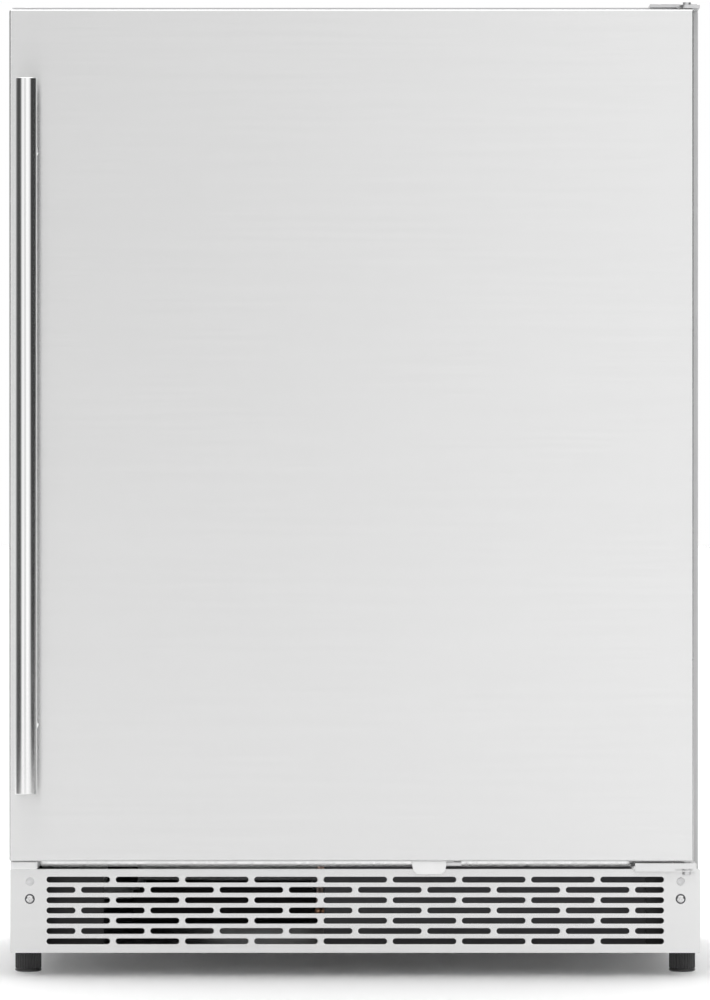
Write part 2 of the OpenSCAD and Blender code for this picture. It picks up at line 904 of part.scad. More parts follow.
// Inner face of the door: two upright dykes carry the bins on round bosses
module door_liner() {
    color(plastic_white) {
        block([door_x0 + sheet, door_y1 - liner_t, door_z0 + sheet],
              [door_x1 - sheet, door_y1, door_z1 - sheet]);
        both_sides() {
            along_z(cav_z0 + 10, cav_z1 - 8)
                rect([dyke_x0, door_y1], [dyke_x1, dyke_y1]);
            for (z = bin_levels)
                rod([bin_x - 4, boss_y, z + boss_up], [dyke_x0, boss_y, z + boss_up], boss_r);
        }
    }
}

module gasket_ring(inset, width, y0, y1) {
    x0 = -half_w + 10 + inset;
    x1 = pin_x - 3 - inset;
    z0 = lip_z0 + 2 + inset;
    z1 = lip_z1 + 8 - inset;
    along_y(y0, y1)
        difference() {
            round_rect([x0, z0], [x1, z1], 3);
            rect([x0 + width, z0 + width], [x1 - width, z1 - width]);
        }
}

module door_gasket() {
    color("LightGray") {
        gasket_ring(4, 8, door_y1, door_y1 + 5);
        gasket_ring(0, 16, door_y1 + 4, cab_y0 - gap);
    }
}

module handle_bar() {
    color("Silver")
        translate([bar_x, bar_y, bar_z - bar_len / 2])
            cylinder(h = bar_len, d = bar_d);
}

module handle_posts() {
    color("Silver")
        difference() {
            for (z = post_z)
                rod([bar_x, bar_y, z], [bar_x, door_y0, z], post_r);
            translate([bar_x, bar_y, bar_z - bar_len / 2])
                cylinder(h = bar_len, d = bar_d);
        }
}

module lock_housing() {
    taper = 4;
    front = lock_y - lock_depth / 2 - 1;
    color("White")
        difference() {
            along_y(front, front + lock_depth)
                polygon([
                    [lock_x - lock_w / 2, door_z0],
                    [lock_x - lock_w / 2, cam_z0],
                    [lock_x - lock_w / 2 + 1, lock_z0 + 3],
                    [lock_x - lock_w / 2 + taper, lock_z0],
                    [lock_x + lock_w / 2 - taper, lock_z0],
                    [lock_x + lock_w / 2 - 1, lock_z0 + 3],
                    [lock_x + lock_w / 2, cam_z0],
                    [lock_x + lock_w / 2, door_z0]
                ]);
            translate([lock_x, lock_y, lock_z0 - eps])
                cylinder(h = 20, r = lock_r + fit);
            block([lock_x - 8, front + 1.8, cam_z0 - gap],
                  [lock_x + lock_w, front + lock_depth + eps, door_z0 + eps]);
        }
}

module lock_cylinder() {
    color("Silver")
        difference() {
            translate([lock_x, lock_y, lock_z0])
                cylinder(h = lock_top - lock_z0, r = lock_r);
            block([lock_x - 3.2, lock_y - 0.6, lock_z0 - eps], [lock_x + 3.2, lock_y + 0.6, lock_z0 + 5]);
        }
}

// Hooked cam: points along the door when unlocked, and swings back behind the keeper's post
module lock_cam() {
    tip = 6.5;
    hook = 6;
    color("DimGray")
        translate([lock_x, lock_y, 0])
            along_z(cam_z0, cam_z1)
                difference() {
                    union() {
                        circle(5.2);
                        rect([0, -4], [cam_reach, 4]);
                        rect([cam_reach - tip, 4], [cam_reach, 4 + hook]);
                    }
                    circle(lock_r);
                }
}

module lock_keeper() {
    z0 = plinth_z1 + 0.3;
    color("Gray") {
        block([keeper_x - 6.5, keeper_y - 4, z0], [keeper_x + 6.5, cab_y0, z0 + 1.5]);
        block([keeper_x - 6.5, cab_y0 - 1.2, z0 + 1.5], [keeper_x + 6.5, cab_y0, lip_z0 - 2]);
        translate([keeper_x, keeper_y, z0 + 1.5])
            cylinder(h = door_z0 - 0.6 - z0 - 1.5, r = keeper_r);
    }
}

// Open-topped bin that drops over the bosses on the dykes
module bin(level) {
    z0 = bin_levels[level];
    z1 = z0 + bin_heights[level];
    slot_w = boss_r + gap;
    color("AliceBlue")
        difference() {
            along_z(z0, z1)
                round_rect([-bin_x, bin_y0], [bin_x, bin_y1], 8);
            along_z(z0 + bin_wall, z1 + eps)
                round_rect([-bin_x + bin_wall, bin_y0 + bin_wall], [bin_x - bin_wall, bin_y1 - bin_wall], 6);
            both_sides()
                along_x(bin_x - bin_wall - eps, bin_x + eps) {
                    rect([boss_y - slot_w, z0 - eps], [boss_y + slot_w, z0 + boss_up]);
                    translate([boss_y, z0 + boss_up])
                        circle(slot_w);
                }
        }
}

side_panel_left();
side_panel_right();
top_panel();
rear_panel();
box_floor_panel();
insulation_foam();
inner_liner();
bottom_rail();
base_pan();
plinth_grille();
pan_screws();
plinth_plugs();
upper_hinge_plate();
hinge_pins();
hinge_bushes();
lower_hinge_bracket();
spare_hinge_cover();
lock_keeper();
evaporator_cover();
evaporator();
fan_motor(0, cold_hub_y[1] + 2, cav_y1, cold_fan_z, 18, cold_hub_y[0] - 2, 0);  // evaporator_fan_motor
fan_blade(0, cold_hub_y, cold_fan_z, cold_fan_r, 5);  // evaporator_fan_blade
lamp_lens();
control_housing();
control_display();
button(0);  // button_cooler
button(1);  // button_warmer
button(2);  // button_lamp
compressor();
compressor_mounts();
condenser();
fan_shroud();
fan_motor(warm_fan_x, warm_hub_y[1] + 2, warm_hub_y[1] + 22, warm_fan_z, 15, warm_hub_y[0] - 2, 32);  // condenser_fan_motor
fan_blade(warm_fan_x, warm_hub_y, warm_fan_z, warm_fan_r, 5);  // condenser_fan_blade
refrigerant_tubing();
drain_pan();
machine_cover();
power_inlet();
foot(-foot_x, foot_y[0]);  // foot_front_left
foot(foot_x, foot_y[0]);  // foot_front_right
foot(-foot_x, foot_y[1]);  // foot_rear_left
foot(foot_x, foot_y[1]);  // foot_rear_right
shelf_glass(0);  // shelf_glass_lower
shelf_glass(1);  // shelf_glass_middle
shelf_glass(2);  // shelf_glass_upper
shelf_trim(0);  // shelf_trim_lower
shelf_trim(1);  // shelf_trim_middle
shelf_trim(2);  // shelf_trim_upper
door_skin();
door_foam();
door_liner();
door_gasket();
handle_bar();
handle_posts();
lock_housing();
lock_cylinder();
lock_cam();
bin(0);  // bin_lower
bin(1);  // bin_middle
bin(2);  // bin_upper
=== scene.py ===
import json
import math

import bmesh
import bpy
from mathutils import Matrix, Vector


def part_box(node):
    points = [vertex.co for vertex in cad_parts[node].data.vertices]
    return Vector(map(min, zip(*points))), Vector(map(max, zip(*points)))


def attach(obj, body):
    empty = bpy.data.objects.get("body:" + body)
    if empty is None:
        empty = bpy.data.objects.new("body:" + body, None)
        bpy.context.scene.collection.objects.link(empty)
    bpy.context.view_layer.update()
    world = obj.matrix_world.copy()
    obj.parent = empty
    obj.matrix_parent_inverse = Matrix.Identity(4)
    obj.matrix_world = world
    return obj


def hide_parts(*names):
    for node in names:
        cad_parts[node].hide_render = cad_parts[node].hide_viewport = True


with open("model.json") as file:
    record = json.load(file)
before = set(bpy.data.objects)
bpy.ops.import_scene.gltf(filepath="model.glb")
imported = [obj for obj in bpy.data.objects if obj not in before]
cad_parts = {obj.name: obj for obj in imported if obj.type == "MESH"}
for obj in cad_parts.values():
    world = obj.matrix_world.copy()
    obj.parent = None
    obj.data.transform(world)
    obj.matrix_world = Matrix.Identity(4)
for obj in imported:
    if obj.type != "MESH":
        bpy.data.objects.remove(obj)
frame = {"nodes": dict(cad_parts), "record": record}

# Undercounter refrigerator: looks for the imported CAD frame. Metres, +Z up, -Y towards the viewer.

MM = 0.001
NEAR = 0.1 * MM  # a point this close to a face lies on it
WELD = 0.00001  # points closer than this are one point
FINE_WELD = 0.000002  # the same on thin outlines
COARSE_WELD = 0.00002  # the same after a cut
COPLANAR = math.radians(0.5)  # faces that turn less than this are one face
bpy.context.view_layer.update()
SCENE = bpy.context.scene


# ---- materials

class Finish:
    """A Principled material whose detail is measured in metres of the object's own frame."""

    def __init__(self, name, color, metallic=0.0, roughness=0.5, **sockets):
        self.material = bpy.data.materials.new(name)
        self.material.use_nodes = True
        self.tree = self.material.node_tree
        self.shader = self.tree.nodes["Principled BSDF"]
        self.shader.inputs["Base Color"].default_value = (*color, 1.0)
        self.shader.inputs["Metallic"].default_value = metallic
        self.shader.inputs["Roughness"].default_value = roughness
        for socket, value in sockets.items():
            self.shader.inputs[socket.replace("_", " ")].default_value = value
        self.coords = self.tree.nodes.new("ShaderNodeTexCoord")
        self.last_bump = None

    def add(self, kind, **values):
        """A new node of the given kind, with its settings."""
        node = self.tree.nodes.new(kind)
        for key, value in values.items():
            setattr(node, key, value)
        return node

    def noise(self, size, detail=2.0, rough=0.5):
        """Noise with features of about size = (x, y, z) metres."""
        mapping = self.add("ShaderNodeMapping")
        mapping.inputs["Scale"].default_value = [1 / s for s in size]
        noise = self.add("ShaderNodeTexNoise")
        noise.inputs["Scale"].default_value = 1.0
        noise.inputs["Detail"].default_value = detail
        noise.inputs["Roughness"].default_value = rough
        self.tree.links.new(self.coords.outputs["Object"], mapping.inputs["Vector"])
        self.tree.links.new(mapping.outputs["Vector"], noise.inputs["Vector"])
        return noise.outputs["Fac"]

    def spread(self, fac, low, high, from_low=0.3, from_high=0.7):
        """Maps the middle of a noise's range to low..high."""
        ramp = self.add("ShaderNodeMapRange")
        ramp.inputs["From Min"].default_value = from_low
        ramp.inputs["From Max"].default_value = from_high
        ramp.inputs["To Min"].default_value = low
        ramp.inputs["To Max"].default_value = high
        self.tree.links.new(fac, ramp.inputs["Value"])
        return ramp.outputs["Result"]

    def color_between(self, fac, dark, light):
        """Base colour that wanders from dark to light with fac."""
        ramp = self.add("ShaderNodeValToRGB")
        ramp.color_ramp.elements[0].position = 0.32
        ramp.color_ramp.elements[0].color = (*dark, 1.0)
        ramp.color_ramp.elements[1].position = 0.68
        ramp.color_ramp.elements[1].color = (*light, 1.0)
        self.tree.links.new(fac, ramp.inputs["Fac"])
        self.tree.links.new(ramp.outputs["Color"], self.shader.inputs["Base Color"])

    def roughness_between(self, fac, low, high):
        """Roughness that wanders from low to high with fac."""
        self.tree.links.new(self.spread(fac, low, high), self.shader.inputs["Roughness"])

    def bump(self, fac, height, strength=1.0):
        """Relief of the given height in metres, laid over any relief before it."""
        bump = self.add("ShaderNodeBump")
        bump.inputs["Strength"].default_value = strength
        bump.inputs["Distance"].default_value = height
        self.tree.links.new(fac, bump.inputs["Height"])
        if self.last_bump:
            self.tree.links.new(self.last_bump, bump.inputs["Normal"])
        self.last_bump = bump.outputs["Normal"]
        self.tree.links.new(self.last_bump, self.shader.inputs["Normal"])


def shade(color, factor):
    """The same colour, lighter or darker."""
    return tuple(min(1.0, c * factor) for c in color)


def brushed_steel(name, color, roughness, grain, stretch=0.07, relief=0.00001):
    """Sheet steel brushed along X: it blurs reflections up and down, and keeps them crisp sideways."""
    steel = Finish(name, color, 1.0, roughness, Anisotropic=0.95, Anisotropic_Rotation=0.25)
    tangent = steel.add("ShaderNodeTangent", direction_type="RADIAL", axis="Z")
    steel.tree.links.new(tangent.outputs["Tangent"], steel.shader.inputs["Tangent"])
    bands = steel.noise((stretch * 3, 0.05, grain * 8), 3.0, 0.6)
    scratches = steel.noise((stretch, 0.02, grain), 3.0, 0.65)
    marks = steel.noise((0.3, 0.3, 0.2), 1.0, 0.5)
    mixed = steel.add("ShaderNodeMath", operation="ADD")
    steel.tree.links.new(bands, mixed.inputs[0])
    steel.tree.links.new(scratches, mixed.inputs[1])
    steel.color_between(steel.spread(mixed.outputs["Value"], 0.0, 1.0, 0.6, 1.4),
                        shade(color, 0.992), shade(color, 1.008))
    steel.roughness_between(marks, roughness - 0.012, roughness + 0.014)
    steel.bump(scratches, relief, 0.2)
    return steel.material


def polished_bar(name, color, roughness):
    """Bar stock polished along its length: hair lines that run up the bar."""
    steel = Finish(name, color, 1.0, roughness)
    lines = steel.noise((0.0009, 0.0009, 0.25), 3.0, 0.6)
    steel.color_between(lines, shade(color, 0.95), shade(color, 1.03))
    steel.roughness_between(steel.noise((0.004, 0.004, 0.12), 3.0), roughness - 0.03, roughness + 0.05)
    steel.bump(lines, 0.00001, 0.35)
    return steel.material


def zinc_plate(name, color, roughness):
    """Zinc-plated pressed steel: soft grey clouds and a slightly grainy surface."""
    steel = Finish(name, color, 1.0, roughness)
    clouds = steel.noise((0.008, 0.008, 0.008), 4.0, 0.65)
    steel.color_between(clouds, shade(color, 0.95), shade(color, 1.03))
    steel.roughness_between(steel.noise((0.003, 0.003, 0.003), 3.0), roughness - 0.06, roughness + 0.1)
    steel.bump(steel.noise((0.0008, 0.0008, 0.0008), 2.0), 0.00002, 0.5)
    return steel.material


def painted_sheet(name, color, roughness, peel=0.0014):
    """Powder-coated sheet with orange peel and faint handling marks."""
    paint = Finish(name, color, 0.0, roughness, Coat_Weight=0.15, Coat_Roughness=0.25)
    paint.color_between(paint.noise((0.2, 0.2, 0.2), 4.0, 0.6), shade(color, 0.97), shade(color, 1.02))
    paint.roughness_between(paint.noise((0.05, 0.05, 0.05), 4.0, 0.6), roughness - 0.04, roughness + 0.05)
    paint.bump(paint.noise((peel, peel, peel), 2.0), 0.00003, 0.6)
    return paint.material


def moulded_plastic(name, color, roughness, texture=0.0006, depth=0.000015, scuffs=0.01):
    """Injection-moulded plastic: a fine spark texture, flow clouds and scuffs."""
    plastic = Finish(name, color, 0.0, roughness)
    plastic.color_between(plastic.noise((0.03, 0.03, 0.03), 3.0), shade(color, 0.97), shade(color, 1.02))
    wear = plastic.noise((scuffs, scuffs, scuffs), 4.0, 0.5)
    plastic.roughness_between(wear, roughness - 0.04, roughness + 0.05)
    plastic.bump(plastic.noise((texture, texture, texture), 2.0), depth, 0.6)
    return plastic.material


def rubber(name, color, roughness):
    """Soft rubber with a matt skin and dust in its texture."""
    skin = Finish(name, color, 0.0, roughness, Sheen_Weight=0.15, Sheen_Roughness=0.4)
    dust = skin.noise((0.006, 0.006, 0.006), 5.0, 0.7)
    skin.color_between(dust, shade(color, 0.9), shade(color, 1.2))
    skin.roughness_between(dust, roughness - 0.08, roughness + 0.08)
    skin.bump(skin.noise((0.0007, 0.0007, 0.0007), 2.0), 0.00004, 0.6)
    return skin.material


def clear_material(name, color, roughness, ior, scuff):
    """Clear glass or plastic with the faint wear that shows only in reflections."""
    clear = Finish(name, color, 0.0, roughness, Transmission_Weight=0.96, IOR=ior)
    wear = clear.noise((0.02, 0.02, 0.02), 6.0, 0.7)
    clear.roughness_between(wear, roughness, roughness + scuff)
    clear.bump(clear.noise((0.05, 0.05, 0.05), 2.0), 0.00005, 0.2)
    return clear.material


def glowing(name, color, strength, roughness=0.4):
    """A lit diffuser or a lit display segment, a little uneven as real ones are."""
    lit = Finish(name, color, 0.0, roughness, Emission_Color=(*color, 1.0), Emission_Strength=strength)
    lit.roughness_between(lit.noise((0.004, 0.004, 0.004), 3.0), roughness - 0.05, roughness + 0.1)
    lit.bump(lit.noise((0.002, 0.002, 0.002), 2.0), 0.00003, 0.4)
    return lit.material


def aluminium_fins(name):
    """Thin fins with the dull patches that their edges get."""
    fin = Finish(name, (0.68, 0.68, 0.69), 0.9, 0.38)
    fin.color_between(fin.noise((0.02, 0.004, 0.02), 4.0), (0.55, 0.55, 0.56), (0.76, 0.76, 0.77))
    fin.bump(fin.noise((0.004, 0.002, 0.004), 3.0), 0.0001, 0.4)
    return fin.material


def copper(name):
    """Drawn copper tube, darkened in places."""
    tube = Finish(name, (0.72, 0.38, 0.22), 1.0, 0.32)
    tube.color_between(tube.noise((0.015, 0.015, 0.015), 5.0, 0.7), (0.42, 0.2, 0.12), (0.8, 0.45, 0.28))
    tube.roughness_between(tube.noise((0.01, 0.01, 0.01), 4.0), 0.25, 0.5)
    return tube.material


MATERIALS = {
    "brushed_stainless": brushed_steel("brushed_stainless", (0.72, 0.72, 0.72), 0.25, 0.0006),
    "bright_stainless": polished_bar("bright_stainless", (0.80, 0.80, 0.80), 0.11),
    "cabinet_sheet": painted_sheet("cabinet_sheet", (0.60, 0.60, 0.605), 0.36),
    "zinc_steel": zinc_plate("zinc_steel", (0.62, 0.62, 0.625), 0.34),
    "white_plastic": moulded_plastic("white_plastic", (0.86, 0.86, 0.86), 0.36),
    "liner_plastic": moulded_plastic("liner_plastic", (0.84, 0.85, 0.86), 0.33, 0.004, 0.000006, 0.08),
    "foam": rubber("foam", (0.78, 0.66, 0.38), 0.85),
    "black_plastic": moulded_plastic("black_plastic", (0.018, 0.018, 0.019), 0.42),
    "black_steel": painted_sheet("black_steel", (0.022, 0.022, 0.024), 0.38),
    "dark_grey_plastic": moulded_plastic("dark_grey_plastic", (0.06, 0.06, 0.065), 0.45),
    "rubber_black": rubber("rubber_black", (0.03, 0.03, 0.031), 0.38),
    "gasket_grey": rubber("gasket_grey", (0.52, 0.53, 0.54), 0.5),
    "glass_clear": clear_material("glass_clear", (0.93, 0.985, 0.965), 0.01, 1.5, 0.03),
    "clear_plastic": clear_material("clear_plastic", (0.95, 0.97, 0.98), 0.06, 1.49, 0.08),
    "lamp_diffuser": glowing("lamp_diffuser", (1.0, 0.98, 0.94), 2.5),
    "display_lens": moulded_plastic("display_lens", (0.006, 0.006, 0.008), 0.12),
    "aluminium_fin": aluminium_fins("aluminium_fin"),
    "copper_tube": copper("copper_tube"),
}
DISPLAY_LIT = glowing("display_lit", (0.25, 0.75, 1.0), 3.0)
SCREW_STEEL = zinc_plate("screw_steel", (0.66, 0.66, 0.66), 0.16)
GLASS_EDGE = clear_material("glass_edge", (0.45, 0.80, 0.68), 0.12, 1.5, 0.1)


# ---- mesh helpers

def at(x, y, z):
    """A place given in millimetres."""
    return (x * MM, y * MM, z * MM)


def in_mm(*points):
    """Points of a profile or an outline, given in millimetres."""
    return [(a * MM, b * MM) for a, b in points]


def add_box(mesh, low, high, radius=0.0, segments=3):
    """Box between two corners; every edge is rounded by radius."""
    low, high = Vector(low), Vector(high)
    verts = bmesh.ops.create_cube(mesh, size=1.0)["verts"]
    for vert in verts:
        vert.co = Vector((low[i] + high[i]) / 2 + vert.co[i] * (high[i] - low[i]) for i in range(3))
    if radius:
        edges = list({edge for vert in verts for edge in vert.link_edges})
        bmesh.ops.bevel(mesh, geom=edges, offset=radius, segments=segments, profile=0.5,
                        affect="EDGES", clamp_overlap=True)


def add_lathe(mesh, profile, place, steps=64):
    """Turns a profile of (radius, height) about the local Z axis of place."""
    rings = []
    for radius, height in profile:
        if radius < 1e-7:
            rings.append([mesh.verts.new(place @ Vector((0, 0, height)))])
            continue
        angles = [2 * math.pi * i / steps for i in range(steps)]
        rings.append([mesh.verts.new(place @ Vector((radius * math.cos(a), radius * math.sin(a), height)))
                      for a in angles])
    for low, high in zip(rings, rings[1:]):
        for i in range(steps):
            j = (i + 1) % steps
            if len(low) == 1:
                mesh.faces.new((low[0], high[j], high[i]))
            elif len(high) == 1:
                mesh.faces.new((low[i], low[j], high[0]))
            else:
                mesh.faces.new((low[i], low[j], high[j], high[i]))


def add_loft(mesh, loops, closed=False):
    """Skin through loops that have the same number of points; it is capped unless closed on itself."""
    rows = [[mesh.verts.new(point) for point in loop] for loop in loops]
    pairs = list(zip(rows, rows[1:]))
    if closed:
        pairs.append((rows[-1], rows[0]))
    for low, high in pairs:
        for i in range(len(low)):
            j = (i + 1) % len(low)
            mesh.faces.new((low[i], low[j], high[j], high[i]))
    if not closed:
        mesh.faces.new(list(reversed(rows[0])))
        mesh.faces.new(rows[-1])


def round_rect(x0, x1, y0, y1, radius, steps=6):
    """Points round a rectangle with arcs at its corners, counter-clockwise."""
    points = []
    for cx, cy, start in ((x1 - radius, y0 + radius, -90), (x1 - radius, y1 - radius, 0),
                          (x0 + radius, y1 - radius, 90), (x0 + radius, y0 + radius, 180)):
        for i in range(steps + 1):
            angle = math.radians(start + 90 * i / steps)
            points.append((cx + radius * math.cos(angle), cy + radius * math.sin(angle)))
    return points


def upright(x, y, z):
    """Local Z is the object's +Z."""
    return Matrix.Translation((x, y, z))


def facing_front(x, y, z):
    """Local Z points to the viewer, -Y."""
    return Matrix.Translation((x, y, z)) @ Matrix.Rotation(math.radians(90), 4, "X")


def facing_back(x, y, z):
    """Local Z points to the rear, +Y."""
    return Matrix.Translation((x, y, z)) @ Matrix.Rotation(math.radians(-90), 4, "X")


def facing_side(x, y, z, sign):
    """Local Z points along +X or -X."""
    return Matrix.Translation((x, y, z)) @ Matrix.Rotation(math.radians(90 * sign), 4, "Y")


def make_piece(name, mesh, finish, body, stands_for=(), sharp=38):
    """Turns a bmesh into a piece that rides on a body. finish is a slot's name or a material."""
    bmesh.ops.recalc_face_normals(mesh, faces=mesh.faces)
    data = bpy.data.meshes.new(name)
    mesh.to_mesh(data)
    mesh.free()
    data.materials.append(MATERIALS[finish] if isinstance(finish, str) else finish)
    data.shade_smooth()
    data.set_sharp_from_angle(angle=math.radians(sharp))
    piece = bpy.data.objects.new(name, data)
    SCENE.collection.objects.link(piece)
    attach(piece, body)
    if stands_for:
        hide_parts(*stands_for)
    return piece


def soften(piece, width, segments=2, angle=30):
    """Breaks the sharp edges of a piece with modifiers, so that they catch the light."""
    weld = piece.modifiers.new("weld", "WELD")
    weld.merge_threshold = WELD
    planes = piece.modifiers.new("planes", "DECIMATE")
    planes.decimate_type = "DISSOLVE"
    planes.angle_limit = COPLANAR
    bevel = piece.modifiers.new("bevel", "BEVEL")
    bevel.width = width
    bevel.segments = segments
    bevel.limit_method = "ANGLE"
    bevel.angle_limit = math.radians(angle)
    bevel.harden_normals = True


# ---- carried-over CAD nodes

SLOT_OF = {row["node"]: row["material_slot"] for row in frame["record"]["subparts"]}
for name, node in frame["nodes"].items():
    node.data.materials.clear()
    node.data.materials.append(MATERIALS[SLOT_OF[name]])


def copy_of(node):
    """The CAD node's shape as a clean bmesh, ready for finer edges."""
    mesh = bmesh.new()
    mesh.from_mesh(frame["nodes"][node].data)
    bmesh.ops.remove_doubles(mesh, verts=mesh.verts, dist=WELD)
    bmesh.ops.dissolve_limit(mesh, angle_limit=COPLANAR, verts=mesh.verts, edges=mesh.edges)
    return mesh


def bevel_where(mesh, offset, segments, test, angle=30, clamp=True):
    """Rounds the sharp edges whose middle passes the test."""
    chosen = []
    for edge in mesh.edges:
        if len(edge.link_faces) == 2 and edge.calc_face_angle(0) > math.radians(angle):
            if test((edge.verts[0].co + edge.verts[1].co) / 2):
                chosen.append(edge)
    bmesh.ops.bevel(mesh, geom=chosen, offset=offset, segments=segments, profile=0.5,
                    affect="EDGES", clamp_overlap=clamp)
    return mesh


def cut(mesh, *cutters):
    """Takes the cutters' volume away from mesh."""
    work = []
    for part in (mesh, *cutters):
        bmesh.ops.recalc_face_normals(part, faces=part.faces)
        data = bpy.data.meshes.new("work")
        part.to_mesh(data)
        part.free()
        work.append(bpy.data.objects.new("work", data))
        SCENE.collection.objects.link(work[-1])
    for cutter in work[1:]:
        boolean = work[0].modifiers.new("cut", "BOOLEAN")
        boolean.operation = "DIFFERENCE"
        boolean.solver = "EXACT"
        boolean.object = cutter
    shown = work[0].evaluated_get(bpy.context.evaluated_depsgraph_get())
    result = bmesh.new()
    result.from_mesh(shown.to_mesh())
    shown.to_mesh_clear()
    for piece in work:
        data = piece.data
        bpy.data.objects.remove(piece)
        bpy.data.meshes.remove(data)
    return result


def flat_shaded(piece):
    """Keeps broad faces flat beside their small round edges."""
    normals = piece.modifiers.new("normals", "WEIGHTED_NORMAL")
    normals.keep_sharp = True
    normals.weight = 60
    return piece


def rounded_bar(name, finish, body, low, high, radius, stands_for=(), segments=3):
    """Piece that is one box with rounded edges."""
    mesh = bmesh.new()
    add_box(mesh, low, high, radius, segments)
    return flat_shaded(make_piece(name, mesh, finish, body, stands_for))


def screw_head(place, radius, height, crown_share=0.84):
    """Domed pan head with a crossed recess, on a thin flange."""
    crown = radius * crown_share
    dome = [(crown * math.sin(math.radians(a)), height * (0.3 + 0.7 * math.cos(math.radians(a))))
            for a in range(90, 0, -10)]
    head = bmesh.new()
    add_lathe(head, [(0, 0), (radius, 0), (radius, height * 0.14), (radius * 0.97, height * 0.18),
                     (crown, height * 0.18)] + dome + [(0, height)], place, 40)
    recess = []
    for turn in (0, 90):
        arm = bmesh.new()
        reach, width, floor = radius * 0.56, radius * 0.13, height * 0.35
        verts = bmesh.ops.create_cube(arm, size=1.0)["verts"]
        for vert in verts:
            taper = 1.0 if vert.co.z > 0 else 0.55
            vert.co = Vector((vert.co.x * 2 * reach * taper, vert.co.y * 2 * width * taper,
                              floor + (vert.co.z + 0.5) * height))
        arm.transform(place @ Matrix.Rotation(math.radians(turn), 4, "Z"))
        recess.append(arm)
    return cut(head, *recess)


def outline_plate(outlines, place, thickness, edge):
    """Flat plate from an outer outline and the outlines of its holes, with rounded edges all round."""
    curve = bpy.data.curves.new("outlines", "CURVE")
    curve.dimensions = "2D"
    curve.fill_mode = "BOTH"
    curve.extrude = thickness / 2 - edge
    curve.bevel_depth = edge
    curve.bevel_resolution = 1
    curve.offset = -edge
    for outline in outlines:
        spline = curve.splines.new("POLY")
        spline.points.add(len(outline) - 1)
        for point, (x, y) in zip(spline.points, outline):
            point.co = (x, y, 0, 1)
        spline.use_cyclic_u = True
    work = bpy.data.objects.new("outlines", curve)
    SCENE.collection.objects.link(work)
    shown = work.evaluated_get(bpy.context.evaluated_depsgraph_get())
    mesh = bmesh.new()
    mesh.from_mesh(shown.to_mesh())
    shown.to_mesh_clear()
    bpy.data.objects.remove(work)
    bpy.data.curves.remove(curve)
    bmesh.ops.remove_doubles(mesh, verts=mesh.verts, dist=FINE_WELD)
    mesh.transform(place @ Matrix.Translation((0, 0, -thickness / 2)))
    return mesh


def slot_outline(x, y, length, height, steps=10):
    """Slot with round ends, lying along the first axis."""
    end_radius = height / 2 - 1e-6
    return round_rect(x - length / 2, x + length / 2, y - height / 2, y + height / 2, end_radius, steps)


def join(meshes):
    """One bmesh from several."""
    whole = bmesh.new()
    for part in meshes:
        data = bpy.data.meshes.new("join")
        part.to_mesh(data)
        part.free()
        whole.from_mesh(data)
        bpy.data.meshes.remove(data)
    return whole


# ---- door

skin_low, skin_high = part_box("door_skin")
bush_low, bush_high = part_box("hinge_bushes")
pin = (bush_low + bush_high) / 2
fold_r, fold_depth, hem_r = 1.6 * MM, 2.5 * MM, 0.25 * MM
pin_clearance = 12 * MM


def on_end_fold(point):
    """True on the front edges of the skin's top and bottom, clear of the hinge pins."""
    height = min(abs(point.z - skin_low.z), abs(point.z - skin_high.z))
    return (height < NEAR and (point.xy - pin.xy).length > pin_clearance
            and abs(point.y - skin_low.y) < fold_depth)


# The outer skin is a folded pan: soft folds along its top and bottom, and a fine hem at the back
skin = copy_of("door_skin")
bevel_where(skin, fold_r, 4, on_end_fold, clamp=False)
bevel_where(skin, hem_r, 2, lambda p: p.y > skin_high.y - NEAR)
flat_shaded(make_piece("door_skin_folded", skin, "brushed_stainless", "door", ["door_skin"]))

bar_low, bar_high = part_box("handle_bar")
bar_mid = (bar_low + bar_high) / 2
bar_r = (bar_high.x - bar_low.x) / 2
bar_len = bar_high.z - bar_low.z
bar_edge = 0.9 * MM
bar_rings = 12
profile = [(0, 0), (bar_r - bar_edge, 0)]
profile += [(bar_r - bar_edge + bar_edge * math.sin(math.radians(a)),
             bar_edge - bar_edge * math.cos(math.radians(a))) for a in (30, 60, 90)]
profile += [(bar_r, bar_len * i / bar_rings) for i in range(1, bar_rings)]
profile += [(bar_r - bar_edge + bar_edge * math.cos(math.radians(a)),
             bar_len - bar_edge + bar_edge * math.sin(math.radians(a))) for a in (0, 30, 60, 90)]
profile += [(0, bar_len)]
bar = bmesh.new()
add_lathe(bar, profile, upright(bar_mid.x, bar_mid.y, bar_low.z), 96)
flat_shaded(make_piece("handle_bar_turned", bar, "bright_stainless", "door", ["handle_bar"]))

# Each post ends in a low round foot on the door, and is saddled to the bar
post_low, post_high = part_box("handle_posts")
post_r = (post_high.x - post_low.x) / 2
post_reach = skin_low.y - bar_mid.y - bar_r * 0.8
post_profile = in_mm((0, 0.02), (9, 0.02), (9, 1.1), (8.5, 1.7))
post_profile += [(post_r + 1.2 * MM, 2 * MM), (post_r + 0.4 * MM, 2.5 * MM), (post_r, 3.4 * MM),
                 (post_r, post_reach), (0, post_reach)]
posts = []
for z in (post_low.z + post_r, post_high.z - post_r):
    post = bmesh.new()
    add_lathe(post, post_profile, facing_front(bar_mid.x, skin_low.y, z), 64)
    posts.append(post)
flat_shaded(make_piece("handle_posts_turned", join(posts), "bright_stainless", "door", ["handle_posts"]))


# ---- plinth, hinges and lock

plinth_low, plinth_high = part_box("plinth_grille")
hinge_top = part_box("upper_hinge_plate")[1].z
bracket_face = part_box("lower_hinge_bracket")[1].y - 1.2 * MM

